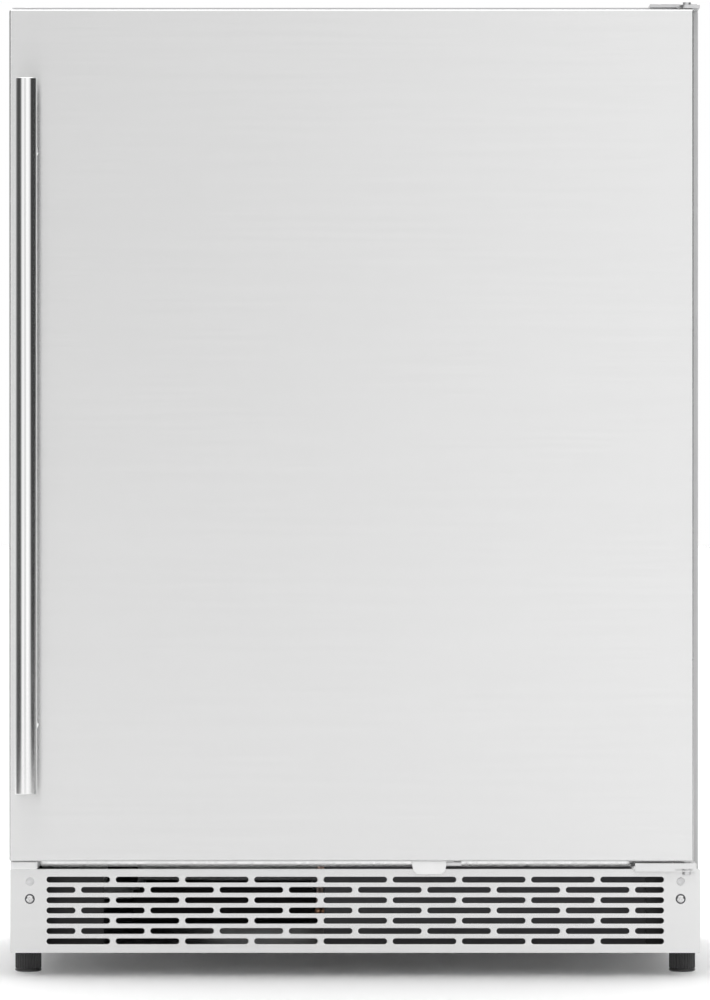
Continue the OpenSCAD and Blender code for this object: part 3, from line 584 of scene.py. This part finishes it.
# Places of the fixings: a screw and a plug at each end of the plinth, and the screws of both hinges
fixing_x, screw_z, plug_z = 282 * MM, 66 * MM, 81 * MM
hinge_screws = in_mm((266, -188), (266, -165), (286, -188), (286, -165))
bracket_screws = in_mm((248, 100), (264, 100))
screw_r, large_screw_r = 3.5 * MM, 4 * MM

# The dark grey rings round the two plinth screws are painted shade: they stand for the shadow gap round each
# head
screws, shade_rings = [], []
for side in (-1, 1):
    place = facing_front(side * fixing_x, plinth_low.y, screw_z)
    screws.append(screw_head(place, screw_r, 2 * MM, 0.96))
    shade_ring = bmesh.new()
    add_lathe(shade_ring, in_mm((3.2, 0.02), (4.3, 0.02), (4.3, 0.3), (4, 0.55), (3.2, 0.45), (3.2, 0.02)),
              place, 48)
    shade_rings.append(shade_ring)
for x, y in hinge_screws:
    screws.append(screw_head(upright(x, y, hinge_top), large_screw_r, 2 * MM))
for x, z in bracket_screws:
    screws.append(screw_head(facing_front(x, bracket_face, z), screw_r, 1.8 * MM))
heads = flat_shaded(make_piece("screw_heads", join(screws), SCREW_STEEL, "cabinet", ["pan_screws"]))
# Dark rings that paint the shadow gap round the plinth screw heads
flat_shaded(make_piece("screw_washers", join(shade_rings), "dark_grey_plastic", "cabinet"))

plugs = []
for side in (-1, 1):
    plug = bmesh.new()
    add_lathe(plug, in_mm((0, -1.5), (2.5, -1.5), (2.5, 0), (3.65, 0), (3.6, 0.35), (3.2, 0.6), (2.4, 0.72),
                          (2.1, 0.5), (0, 0.45)), facing_front(side * fixing_x, plinth_low.y, plug_z), 48)
    plugs.append(plug)
flat_shaded(make_piece("plinth_plug_caps", join(plugs), "zinc_steel", "cabinet", ["plinth_plugs"]))

# The plinth's face is a punched sheet with returned edges. Every second row has a short slot at each end
plinth_t, plinth_corner = 1.2 * MM, 1.5 * MM
slot_length, slot_height = 55 * MM, 5 * MM
slot_pitch, row_pitch, first_row = 60, 8.9, 9.3
short_slot_x, short_slot_length = 255 * MM, 25 * MM
outlines = [round_rect(plinth_low.x, plinth_high.x, plinth_low.z, plinth_high.z, plinth_corner)]
for row in range(7):
    z = plinth_high.z - (first_row + row_pitch * row) * MM
    full = 9 - row % 2
    outlines += [slot_outline((i - (full - 1) / 2) * slot_pitch * MM, z, slot_length, slot_height)
                 for i in range(full)]
    if row % 2:
        for x in (-short_slot_x, short_slot_x):
            outlines.append(slot_outline(x, z, short_slot_length, slot_height))
face = outline_plate(outlines, facing_front(0, plinth_low.y, 0), plinth_t, 0.25 * MM)
returns = bmesh.new()
return_front, return_depth, return_edge = plinth_low.y + plinth_t * 0.9, 12 * MM, 0.3 * MM
for z in (plinth_low.z + plinth_corner, plinth_high.z - plinth_corner - plinth_t):
    add_box(returns, (plinth_low.x + 3 * MM, return_front, z),
            (plinth_high.x - 3 * MM, plinth_low.y + return_depth, z + plinth_t), return_edge, 2)
for side in (-1, 1):
    x = sorted((side * plinth_high.x, side * (plinth_high.x - plinth_t)))
    add_box(returns, (x[0], return_front, plinth_low.z + 2 * MM),
            (x[1], plinth_high.y, plinth_high.z - 2 * MM), return_edge, 2)
flat_shaded(make_piece("plinth_punched", join([face, returns]), "brushed_stainless", "cabinet",
                       ["plinth_grille"]))

# CAD nodes that keep their shape and get softened edges, with the width of those edges in millimetres
SOFT_EDGES = {
    "upper_hinge_plate": 0.5, "hinge_pins": 0.3, "hinge_bushes": 0.2, "lower_hinge_bracket": 0.8,
    "spare_hinge_cover": 0.9, "lock_keeper": 0.3, "lock_housing": 0.6, "lock_cylinder": 0.3, "lock_cam": 0.3,
    "side_panel_left": 0.5, "side_panel_right": 0.5, "top_panel": 0.4, "bottom_rail": 0.4, "base_pan": 0.5,
    "power_inlet": 0.6, "box_floor_panel": 0.4, "evaporator_fan_motor": 0.4, "evaporator_fan_blade": 0.3,
    "condenser_fan_blade": 0.3, "condenser_fan_motor": 0.4, "control_display": 0.4, "compressor": 1.0,
    "compressor_mounts": 1.0, "fan_shroud": 0.6, "drain_pan": 0.8, "shelf_trim_lower": 0.5,
    "shelf_trim_middle": 0.5, "shelf_trim_upper": 0.5,
}
for name, width in SOFT_EDGES.items():
    soften(frame["nodes"][name], width * MM)


# ---- levelling feet

def ribbed_foot(mesh, x, y, top, stud_top, radius):
    """Adds a ribbed moulded body on a plain pad to mesh, and gives back its threaded stud."""
    ribs, per_rib = 28, 10

    def outline(core, bulge, z):
        points = []
        for i in range(ribs * per_rib):
            angle = 2 * math.pi * i / (ribs * per_rib)
            wave = math.sqrt(max(0.0, math.cos(ribs * angle)))
            points.append(Vector((x + (core + bulge * wave) * math.cos(angle),
                                  y + (core + bulge * wave) * math.sin(angle), z)))
        return points

    rib = 0.8 * MM
    core = radius - 0.1 * MM - rib
    add_loft(mesh, [outline(core - 1.4 * MM, 0, 0), outline(core - 0.4 * MM, 0, 0.4 * MM),
                    outline(radius - 0.2 * MM, 0, 0.9 * MM), outline(radius, 0, 1.3 * MM),
                    outline(radius, 0, 2.5 * MM), outline(radius - 0.5 * MM, 0, 3 * MM),
                    outline(core, 0, 3.05 * MM), outline(core, rib, 3.6 * MM),
                    outline(core, rib, top - 1.2 * MM), outline(core - 0.6 * MM, rib, top - 0.3 * MM),
                    outline(core - 1.4 * MM, 0, top)])
    pitch, crest, root = 1.25 * MM, 3.95 * MM, 3.4 * MM
    turns = int((stud_top - top - 1 * MM) / pitch)
    thread = [(0, top - 1 * MM), (crest, top - 1 * MM)]
    for i in range(turns):
        thread += [(crest, top + (i + 0.15) * pitch), (root, top + (i + 0.5) * pitch),
                   (crest, top + (i + 0.85) * pitch)]
    thread += [(root, stud_top - 0.4 * MM), (root - 0.8 * MM, stud_top), (0, stud_top)]
    stud = bmesh.new()
    add_lathe(stud, thread, upright(x, y, 0), 32)
    return stud


foot_body_top = 18 * MM
for name in ("foot_front_left", "foot_front_right", "foot_rear_left", "foot_rear_right"):
    low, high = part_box(name)
    body = bmesh.new()
    stud = ribbed_foot(body, (low.x + high.x) / 2, (low.y + high.y) / 2, foot_body_top, high.z,
                       (high.x - low.x) / 2)
    flat_shaded(make_piece(name + "_ribbed", body, "rubber_black", name, [name], sharp=50))
    flat_shaded(make_piece(name + "_stud", stud, "zinc_steel", name, sharp=50))


# ---- inside of the cabinet

# The food space: half its width, its floor and ceiling, its back, and the step over the machine compartment
LINER = 2 * MM
cabinet_front = -205 * MM
cavity_x, cavity_back = 254 * MM, 262 * MM
cavity_low, cavity_high = 130 * MM, 795 * MM
step_y, step_z = 107 * MM, 250 * MM


def prism(outline, x0, x1):
    """Solid between x0 and x1 from an outline of (y, z)."""
    mesh = bmesh.new()
    rows = [[mesh.verts.new((x, y, z)) for y, z in outline] for x in (x0, x1)]
    mesh.faces.new(rows[0])
    mesh.faces.new(list(reversed(rows[1])))
    for i in range(len(outline)):
        j = (i + 1) % len(outline)
        mesh.faces.new((rows[0][i], rows[1][i], rows[1][j], rows[0][j]))
    bmesh.ops.recalc_face_normals(mesh, faces=mesh.faces)
    return mesh


def stepped_outline(front, grow):
    """Side view of the stepped cavity, grown outwards by a wall."""
    back, riser, tread = cavity_back + grow, step_y + grow, step_z - grow
    low, high = cavity_low - grow, cavity_high + grow
    return [(front, low), (riser, low), (riser, tread), (back, tread), (back, high), (front, high)]


def filleted_cavity():
    """The space inside the liner, with large vacuum-formed radii and a tighter one on the step's edge."""
    mouth = cabinet_front - 12 * MM
    space = prism(stepped_outline(mouth, 0), -cavity_x, cavity_x)

    def on_step_edge(point):
        return max(abs(point.x), abs(point.y - step_y), abs(point.z - step_z)) < 1 * MM

    bevel_where(space, 4.5 * MM, 5, on_step_edge, clamp=False)
    return bevel_where(space, 11 * MM, 6, lambda p: p.y > mouth + 1 * MM, clamp=False)


shell = cut(prism(stepped_outline(cabinet_front + LINER, LINER), -cavity_x - LINER, cavity_x + LINER),
            filleted_cavity())
inner_low, inner_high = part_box("inner_liner")
flange = bmesh.new()
add_box(flange, (inner_low.x, cabinet_front, inner_low.z),
        (inner_high.x, cabinet_front + LINER, inner_high.z))
flange = cut(flange, filleted_cavity())
bmesh.ops.remove_doubles(flange, verts=flange.verts, dist=COARSE_WELD)
bevel_where(flange, 1.4 * MM, 3, lambda p: p.y < cabinet_front + NEAR, 50, clamp=False)

# Shelf ribs in millimetres: under each glass pane, and at two spare levels between them
rib_levels, rib_height = (318, 409, 500, 591, 682), 8
ribs = bmesh.new()
for level in rib_levels:
    for x0, x1 in ((-254.5, -244), (244, 254.5)):
        add_box(ribs, at(x0, -84, level - rib_height), at(x1, 220, level - 0.2), 2.2 * MM, 4)
flat_shaded(make_piece("liner_formed", join([shell, flange, ribs]), "liner_plastic", "cabinet",
                       ["inner_liner"]))

cover_low, cover_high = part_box("evaporator_cover")
cover_margin = 3 * MM


def on_cover_rim(point):
    """True on the outer edges of the cover's face."""
    to_side = abs(abs(point.x) - cover_high.x)
    to_end = min(abs(point.z - cover_low.z), abs(point.z - cover_high.z))
    return point.y < cover_low.y + NEAR and min(to_side, to_end) < NEAR


def on_cover_opening(point):
    """True on the edges of the openings in the cover's face."""
    return (point.y < cover_low.y + NEAR and abs(point.x) < cover_high.x - cover_margin
            and cover_low.z + cover_margin < point.z < cover_high.z - cover_margin)


cover = copy_of("evaporator_cover")
bevel_where(cover, 2.6 * MM, 4, on_cover_rim)
bevel_where(cover, 0.35 * MM, 2, on_cover_opening, 60)
flat_shaded(make_piece("evaporator_cover_formed", cover, "white_plastic", "cabinet", ["evaporator_cover"]))

cover_screws = in_mm(*[(x, z) for x in (-168, 168) for z in (280, 500, 752)])
screws = [screw_head(facing_front(x, cover_low.y, z), screw_r, 1.8 * MM) for x, z in cover_screws]
flat_shaded(make_piece("evaporator_cover_screws", join(screws), "zinc_steel", "cabinet"))


# ---- shelves and bins

# Glass panes with ground edges, which look greener than the faces
for name in ("shelf_glass_lower", "shelf_glass_middle", "shelf_glass_upper"):
    low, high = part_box(name)
    body = name.replace("glass_", "")
    pane = rounded_bar(name + "_ground", "glass_clear", body, low, high, 0.7 * MM, [name])
    pane.data.materials.append(GLASS_EDGE)
    for face in pane.data.polygons:
        face.material_index = int(abs(face.normal.z) < 0.5)


BIN_NAMES = ("bin_lower", "bin_middle", "bin_upper")
bin_wall, bin_slot_r = 2.5 * MM, 5.3 * MM
boss_y, boss_up = -185 * MM, 30 * MM


def moulded_bin(low, high):
    """Open box with a rounded foot and rim, and slots that drop over the door's bosses."""
    def ring(inset, z):
        corner = max(8 * MM - inset, 3 * MM)
        return [Vector((x, y, z)) for x, y in
                round_rect(low.x + inset, high.x - inset, low.y + inset, high.y - inset, corner, 7)]

    # (inset, height, whether from the top) in millimetres: up the outside, down the inside
    steps = [(3.2, 0, 0), (1.2, 0.5, 0), (0.3, 1.6, 0), (0, 3.2, 0), (0, -3.6, 1), (0, -0.8, 1),
             (0.25, -0.25, 1), (0.8, 0, 1), (1.7, 0, 1), (2.25, -0.25, 1), (2.5, -0.8, 1), (2.5, 5.5, 0),
             (2.9, 3.8, 0), (4.0, 2.8, 0), (6.0, 2.5, 0)]
    mesh = bmesh.new()
    add_loft(mesh, [ring(inset * MM, (high.z if from_top else low.z) + dz * MM)
                    for inset, dz, from_top in steps])
    slots = []
    for side in (-1, 1):
        x0 = side * (high.x - bin_wall * 1.6)
        slot = bmesh.new()
        add_lathe(slot, [(0, 0), (bin_slot_r, 0), (bin_slot_r, 8 * MM), (0, 8 * MM)],
                  facing_side(x0, boss_y, low.z + boss_up, side), 32)
        slots.append(slot)
        open_end = bmesh.new()
        ends = sorted((x0 - side * 0.01 * MM, x0 + side * 8.01 * MM))
        add_box(open_end, (ends[0], boss_y - bin_slot_r + 0.004 * MM, low.z - 2 * MM),
                (ends[1], boss_y + bin_slot_r - 0.004 * MM, low.z + boss_up))
        slots.append(open_end)
    return cut(mesh, *slots)


for name in BIN_NAMES:
    flat_shaded(make_piece(name + "_moulded", moulded_bin(*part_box(name)), "clear_plastic", name, [name]))


# ---- inside of the door

liner_low, liner_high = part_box("door_liner")
door_back = skin_high.y
plate = bmesh.new()
add_box(plate, (liner_low.x, door_back - LINER, liner_low.z), (liner_high.x, door_back, liner_high.z),
        0.6 * MM, 3)
pad = bmesh.new()
add_box(pad, (-219 * MM, door_back - 0.5 * MM, 143 * MM), (219 * MM, door_back + 2 * MM, 784 * MM),
        1.9 * MM, 5)
parts = [plate, pad]
for side in (-1, 1):
    x = sorted((side * 226 * MM, side * 238 * MM))
    dyke = bmesh.new()
    add_box(dyke, (x[0], door_back - 0.5 * MM, 140 * MM), (x[1], liner_high.y, 787 * MM), 4.5 * MM, 5)
    parts.append(dyke)
    for bin_name in BIN_NAMES:
        boss_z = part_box(bin_name)[0].z + boss_up
        boss = bmesh.new()
        add_lathe(boss, in_mm((0, 0), (5, 0), (5, 6.0), (4.7, 6.7), (4, 7), (0, 7)),
                  facing_side(side * 227 * MM, boss_y, boss_z, -side), 32)
        parts.append(boss)
flat_shaded(make_piece("door_liner_formed", join(parts), "liner_plastic", "door", ["door_liner"]))

# Magnetic gasket: a soft bellows under a flat sealing face, as (inset, y) in millimetres
gasket_low, gasket_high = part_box("door_gasket")
section = [(5, -217), (4.2, -216.3), (4, -215.2), (5.4, -214), (1.2, -213.2), (0.3, -212.6), (0, -211.6),
           (0, -206.4), (0.4, -205.6), (1.3, -205.3), (14.7, -205.3), (15.6, -205.6), (16, -206.4),
           (16, -211.6),
           (15.7, -212.6), (14.8, -213.2), (10.6, -214), (12, -215.2), (11.8, -216.3), (11, -217)]
loops = []
for inset, y in section:
    ring = round_rect(gasket_low.x + inset * MM, gasket_high.x - inset * MM, gasket_low.z + inset * MM,
                      gasket_high.z - inset * MM, (20 - inset) * MM, 8)
    loops.append([Vector((x, y * MM, z)) for x, z in ring])
seal = bmesh.new()
add_loft(seal, loops, closed=True)
make_piece("door_gasket_bellows", seal, "gasket_grey", "door", ["door_gasket"], sharp=70)


# ---- control

housing_low, housing_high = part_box("control_housing")
display_low, display_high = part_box("control_display")
housing = bmesh.new()
add_box(housing, housing_low, housing_high, 2.8 * MM, 4)
pockets = [bmesh.new()]
add_box(pockets[0], display_low - Vector((0, 2 * MM, 0)), display_high)

# The arms of each button's mark as (half length, half height) in millimetres; the lamp's mark is a ring
BUTTON_ARMS = {"button_cooler": [(1.9, 0.3)], "button_warmer": [(1.9, 0.3), (0.3, 1.9)], "button_lamp": []}
button_gap, pocket_depth = 0.3 * MM, 10 * MM
for name in BUTTON_ARMS:
    low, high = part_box(name)
    hole = bmesh.new()
    radius = (high.x - low.x) / 2 + button_gap
    add_lathe(hole, [(0, -1 * MM), (radius, -1 * MM), (radius, 12 * MM), (0, 12 * MM)],
              facing_front((low.x + high.x) / 2, housing_low.y + pocket_depth, (low.z + high.z) / 2), 48)
    pockets.append(hole)
housing = cut(housing, *pockets)
flat_shaded(make_piece("control_housing_moulded", housing, "white_plastic", "cabinet", ["control_housing"]))

dish = 0.9 * MM
for name, arms in BUTTON_ARMS.items():
    low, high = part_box(name)
    radius, length = (high.x - low.x) / 2, high.y - low.y
    cap = bmesh.new()
    face = [(radius * k, length - (1 - k) ** 2 * dish) for k in (0.8, 0.6, 0.4, 0.2, 0)]
    add_lathe(cap, [(0, 0), (radius, 0), (radius, length - 0.6 * MM), (radius - 0.2 * MM, length - 0.2 * MM),
                    (radius - 0.6 * MM, length)] + face,
              facing_front((low.x + high.x) / 2, high.y, (low.z + high.z) / 2), 48)
    flat_shaded(make_piece(name + "_cap", cap, "dark_grey_plastic", name, [name]))
    mark = bmesh.new()
    middle = (low + high) / 2
    for dx, dz in arms:
        add_box(mark, (middle.x - dx * MM, low.y + 0.1 * MM, middle.z - dz * MM),
                (middle.x + dx * MM, low.y + 1.4 * MM, middle.z + dz * MM), 0.08 * MM, 1)
    if not arms:
        add_lathe(mark, in_mm((1.2, -1.4), (1.8, -1.4), (1.8, -0.1), (1.2, -0.1), (1.2, -1.4)),
                  facing_front(middle.x, low.y, middle.z), 40)
    make_piece(name + "_mark", mark, "white_plastic", name)

# Lit figures on the display: seven-segment digits and a degree ring. A segment is its place, in half
# widths and heights of the digit, and whether it runs across and up
SEGMENTS = {"a": (0, 1, 1, 0), "b": (1, 0.5, 0, 1), "c": (1, -0.5, 0, 1), "d": (0, -1, 1, 0),
            "e": (-1, -0.5, 0, 1), "f": (-1, 0.5, 0, 1), "g": (0, 0, 1, 0)}
figures = bmesh.new()
half_h, half_w, stroke, proud = 4.2 * MM, 2.3 * MM, 0.45 * MM, 0.12 * MM
middle = (display_low + display_high) / 2
for place_x, lit in ((-9, "abcdef"), (-1, "bcfg")):
    for segment in lit:
        sx, sz, along_x, along_z = SEGMENTS[segment]
        cx, cz = place_x * MM + sx * half_w, middle.z + sz * half_h
        dx = (half_w - stroke * 1.3) if along_x else stroke
        dz = (half_h / 2 - stroke * 1.3) if along_z else stroke
        add_box(figures, (cx - dx, display_low.y - proud, cz - dz),
                (cx + dx, display_low.y + 0.3 * MM, cz + dz), 0.1 * MM, 1)
add_lathe(figures, [(0.7 * MM, -0.3 * MM), (1.2 * MM, -0.3 * MM), (1.2 * MM, proud), (0.7 * MM, proud),
                    (0.7 * MM, -0.3 * MM)], facing_front(6 * MM, display_low.y, middle.z + 3.2 * MM), 32)
make_piece("display_figures", figures, DISPLAY_LIT, "cabinet")

lens_low, lens_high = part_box("lamp_lens")
flute_half = 1.2 * MM
diffuser = bmesh.new()
add_box(diffuser, lens_low, lens_high, 2.2 * MM, 4)
for i in range(-7, 8):
    x = i * 10 * MM
    add_box(diffuser, (x - flute_half, lens_low.y + 4 * MM, lens_low.z - 0.5 * MM),
            (x + flute_half, lens_high.y - 4 * MM, lens_low.z + 1 * MM), 0.45 * MM, 3)
flat_shaded(make_piece("lamp_lens_fluted", diffuser, "lamp_diffuser", "cabinet", ["lamp_lens"]))


# ---- machine compartment and rear

filter_sheet = bmesh.new()
add_box(filter_sheet, at(-27, -191.4, 22.2), at(254, -188.4, 91.8), 0.8 * MM, 3)
flat_shaded(make_piece("condenser_dust_filter", filter_sheet, "dark_grey_plastic", "cabinet"))

pan_low, pan_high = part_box("drain_pan")
rounded_bar("drain_pan_guard", "black_plastic", "cabinet",
            (pan_low.x - 6 * MM, pan_low.y - 7 * MM, 22.2 * MM),
            (pan_high.x + 6 * MM, pan_low.y - 5 * MM, 50 * MM), 0.6 * MM)

# Weld seam round the compressor's shell
seam = bmesh.new()
add_lathe(seam, in_mm((63, -3.4), (65.4, -3), (66, -2.2), (66, -0.5), (65.2, 0), (66, 0.5), (66, 2.2),
                      (65.4, 3), (63, 3.4), (63, -3.4)), upright(*at(120, 215, 108)), 96)
flat_shaded(make_piece("compressor_seam", seam, "black_steel", "cabinet"))

panel_low, panel_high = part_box("machine_cover")
inlet_low, inlet_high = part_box("power_inlet")
outlines = [round_rect(panel_low.x, panel_high.x, -panel_high.z, -panel_low.z, 2 * MM)]
louvre_x, louvre_step_x, louvre_z, louvre_step_z = 30, 120, 75, 13
for column in (-1, 0, 1):
    for row in range(9):
        x, z = in_mm((louvre_x + column * louvre_step_x, louvre_z + row * louvre_step_z))[0]
        outlines.append(slot_outline(x, -z, 95 * MM, 5 * MM))
outlines.append(round_rect(inlet_low.x, inlet_high.x, -inlet_high.z, -inlet_low.z, 0.3 * MM))
vented = outline_plate(outlines, facing_back(0, panel_high.y, 0), 1 * MM, 0.2 * MM)
flat_shaded(make_piece("machine_cover_punched", vented, "zinc_steel", "cabinet", ["machine_cover"]))

back_low, back_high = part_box("rear_panel")
back = bmesh.new()
add_box(back, back_low, back_high, 0.4 * MM, 2)
emboss_x, emboss_y = 255 * MM, back_high.y + 1.6 * MM
embosses = []
for low_z, high_z in in_mm((250, 505), (545, 800)):
    emboss = bmesh.new()
    add_box(emboss, (-emboss_x, back_high.y - 0.4 * MM, low_z), (emboss_x, emboss_y, high_z), 1.5 * MM, 4)
    embosses.append(emboss)
flat_shaded(make_piece("rear_panel_pressed", join([back] + embosses), "zinc_steel", "cabinet",
                       ["rear_panel"]))

# Returned edges of the side panels, which the machine cover is screwed to
for side, word in ((-1, "left"), (1, "right")):
    x = sorted((side * 285 * MM, side * 298 * MM))
    rounded_bar("rear_return_" + word, "cabinet_sheet", "cabinet", (x[0], 303.4 * MM, 22.4 * MM),
                (x[1], 305.4 * MM, 211.5 * MM), 0.4 * MM, segments=2)

rounded_bar("rear_return_pan", "black_steel", "cabinet", at(-284, 303.4, 21.8), at(284, 305, 33),
            0.4 * MM, segments=2)

# Screws along the sides and top of the rear panel, and the sides of the machine cover
panel_screws = [(x, z) for x in (-286, 286) for z in (235, 400, 565, 730, 828)]
panel_screws += [(x, 828) for x in (-140, 0, 140)]
machine_screws = [(x, z) for x in (-283, 283) for z in (36, 120, 200)]
screws = [screw_head(facing_back(x, back_high.y, z), large_screw_r, 2 * MM) for x, z in in_mm(*panel_screws)]
screws += [screw_head(facing_back(x, panel_high.y, z), large_screw_r, 2 * MM)
           for x, z in in_mm(*machine_screws)]
flat_shaded(make_piece("rear_screws", join(screws), "zinc_steel", "cabinet"))

# Caps over the screw holes that a left-hand hinge would use
caps = []
for x in (-266, -286):
    for y in (-188, -165):
        cap = bmesh.new()
        add_lathe(cap, in_mm((0, -0.5), (2.6, -0.5), (2.6, 0), (5, 0), (4.9, 0.5), (4.2, 1), (2.8, 1.35),
                             (1.2, 1.5), (0, 1.5)),
                  upright(x * MM, y * MM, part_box("top_panel")[1].z), 40)
        caps.append(cap)
flat_shaded(make_piece("spare_hole_caps", join(caps), "white_plastic", "cabinet"))


# ---- studio

# What stands round the object at eye level: (bearing from the front in degrees, brightness)
SWEEP = [(-180, 1.0), (-150, 0.9), (-128, 0.5), (-112, 0.32), (-99, 0.09), (-58, 0.09), (-48, 0.55),
         (-40, 1.0), (-28, 1.18), (-16, 1.02), (-8, 0.80), (-3, 0.82), (0, 0.95), (3, 1.15), (8, 1.2),
         (14, 1.24), (26, 1.2), (38, 1.0), (48, 0.6), (57, 0.06), (76, 0.06), (86, 0.06), (126, 0.06),
         (150, 0.9), (180, 1.0)]
PEAK, ROOM_LEVEL = 1.25, 0.97


def world_light():
    """Soft white room with dark strips at either side, which draw the edges of round bright metal."""
    world = bpy.data.worlds.new("studio")
    SCENE.world = world
    world.use_nodes = True
    tree = world.node_tree
    link = tree.links.new
    coords = tree.nodes.new("ShaderNodeTexCoord")
    axes = tree.nodes.new("ShaderNodeSeparateXYZ")
    link(coords.outputs["Generated"], axes.inputs[0])

    def math_node(operation, *values):
        node = tree.nodes.new("ShaderNodeMath")
        node.operation = operation
        for socket, value in zip(node.inputs, values):
            if isinstance(value, float):
                socket.default_value = value
            else:
                link(value, socket)
        return node.outputs[0]

    def ramp_node(value, low, high, start, end):
        node = tree.nodes.new("ShaderNodeMapRange")
        node.interpolation_type = "SMOOTHSTEP"
        link(value, node.inputs["Value"])
        for socket, number in (("From Min", low), ("From Max", high), ("To Min", start), ("To Max", end)):
            node.inputs[socket].default_value = number
        return node.outputs["Result"]

    bearing = math_node("ARCTAN2", axes.outputs["X"], math_node("MULTIPLY", axes.outputs["Y"], -1.0))
    sweep = tree.nodes.new("ShaderNodeValToRGB")
    link(math_node("MULTIPLY_ADD", bearing, 0.5 / math.pi, 0.5), sweep.inputs["Fac"])
    stops = sweep.color_ramp.elements
    for index, (angle, level) in enumerate(SWEEP):
        place = 0.5 + angle / 360
        stop = stops[index] if index < 2 else stops.new(place)
        stop.position = place
        stop.color = (level / PEAK, level / PEAK, level / PEAK, 1.0)
    eye_level = ramp_node(math_node("ABSOLUTE", axes.outputs["Z"]), 0.42, 0.68, 1.0, 0.0)
    strips = math_node("SUBTRACT", math_node("MULTIPLY", sweep.outputs["Color"], PEAK), ROOM_LEVEL)
    room = math_node("ADD", ROOM_LEVEL, math_node("MULTIPLY", strips, eye_level))
    ceiling = ramp_node(axes.outputs["Z"], 0.45, 0.75, 0.0, 0.5)
    total = math_node("ADD", room, ceiling)
    seen = tree.nodes.new("ShaderNodeLightPath").outputs["Is Camera Ray"]
    indirect = math_node("MULTIPLY", math_node("SUBTRACT", 1.0, seen), total)
    link(math_node("ADD", seen, indirect), tree.nodes["Background"].inputs["Strength"])
    tree.nodes["Background"].inputs["Color"].default_value = (1, 1, 1, 1)


def soft_light(name, place, target, size, power):
    light = bpy.data.lights.new(name, "AREA")
    light.shape = "RECTANGLE"
    light.size, light.size_y = size
    light.energy = power
    lamp = bpy.data.objects.new(name, light)
    lamp.location = place
    lamp.rotation_euler = (Vector(target) - Vector(place)).to_track_quat("-Z", "Y").to_euler()
    SCENE.collection.objects.link(lamp)


def fade_out_edges(paper, start, end):
    """Lets the floor's sides and front pass into the plain background, so no edge line shows."""
    tree = paper.tree
    link = tree.links.new
    place = paper.add("ShaderNodeSeparateXYZ")
    link(paper.coords.outputs["Object"], place.inputs[0])
    side = paper.add("ShaderNodeMath", operation="ABSOLUTE")
    link(place.outputs["X"], side.inputs[0])
    ahead = paper.add("ShaderNodeMath", operation="MULTIPLY")
    link(place.outputs["Y"], ahead.inputs[0])
    ahead.inputs[1].default_value = -1.0
    reach = paper.add("ShaderNodeMath", operation="MAXIMUM")
    link(side.outputs[0], reach.inputs[0])
    link(ahead.outputs[0], reach.inputs[1])
    fade = paper.add("ShaderNodeMapRange", interpolation_type="SMOOTHSTEP")
    link(reach.outputs[0], fade.inputs["Value"])
    fade.inputs["From Min"].default_value = start
    fade.inputs["From Max"].default_value = end
    mix = paper.add("ShaderNodeMixShader")
    link(fade.outputs["Result"], mix.inputs["Fac"])
    link(paper.shader.outputs[0], mix.inputs[1])
    link(paper.add("ShaderNodeBsdfTransparent").outputs[0], mix.inputs[2])
    link(mix.outputs[0], tree.nodes["Material Output"].inputs["Surface"])


def studio_floor():
    mesh = bmesh.new()
    half_width, front, back = 3.2, -3.2, 60.0
    corners = [(-half_width, front), (half_width, front), (half_width, back), (-half_width, back)]
    mesh.faces.new([mesh.verts.new((x, y, 0)) for x, y in corners])
    data = bpy.data.meshes.new("studio_floor")
    mesh.to_mesh(data)
    mesh.free()
    paper = Finish("studio_paper", (0.95, 0.95, 0.95), 0.0, 0.7, Specular_IOR_Level=0.0,
                   Subsurface_Weight=1.0, Subsurface_Radius=(1.0, 1.0, 1.0), Subsurface_Scale=0.45,
                   Emission_Color=(1.0, 1.0, 1.0, 1.0), Emission_Strength=0.02)
    paper.bump(paper.noise((0.02, 0.02, 0.02), 3.0), 0.0002, 0.2)
    fade_out_edges(paper, half_width - 0.5, half_width)
    data.materials.append(paper.material)
    floor = bpy.data.objects.new("studio_floor", data)
    SCENE.collection.objects.link(floor)


def front_camera():
    """Level camera on the photograph's line of sight: straight on, at about half the cabinet's height."""
    distance, eye_x, eye_z = 5.70, -0.0002, 0.4117
    camera = bpy.data.cameras.new("front")
    camera.lens = 237.5
    camera.sensor_width = 36
    camera.clip_end = 60
    eye = bpy.data.objects.new("front", camera)
    eye.location = (eye_x, skin_low.y - distance, eye_z)
    eye.rotation_euler = (math.radians(90), 0, 0)
    SCENE.collection.objects.link(eye)
    SCENE.camera = eye


world_light()
studio_floor()
front_camera()
soft_light("overhead", (0.1, 1.3, 2.9), (0, 0, 0.3), (2.4, 2.4), 26)
SCENE.view_settings.view_transform = "Standard"
SCENE.view_settings.look = "None"
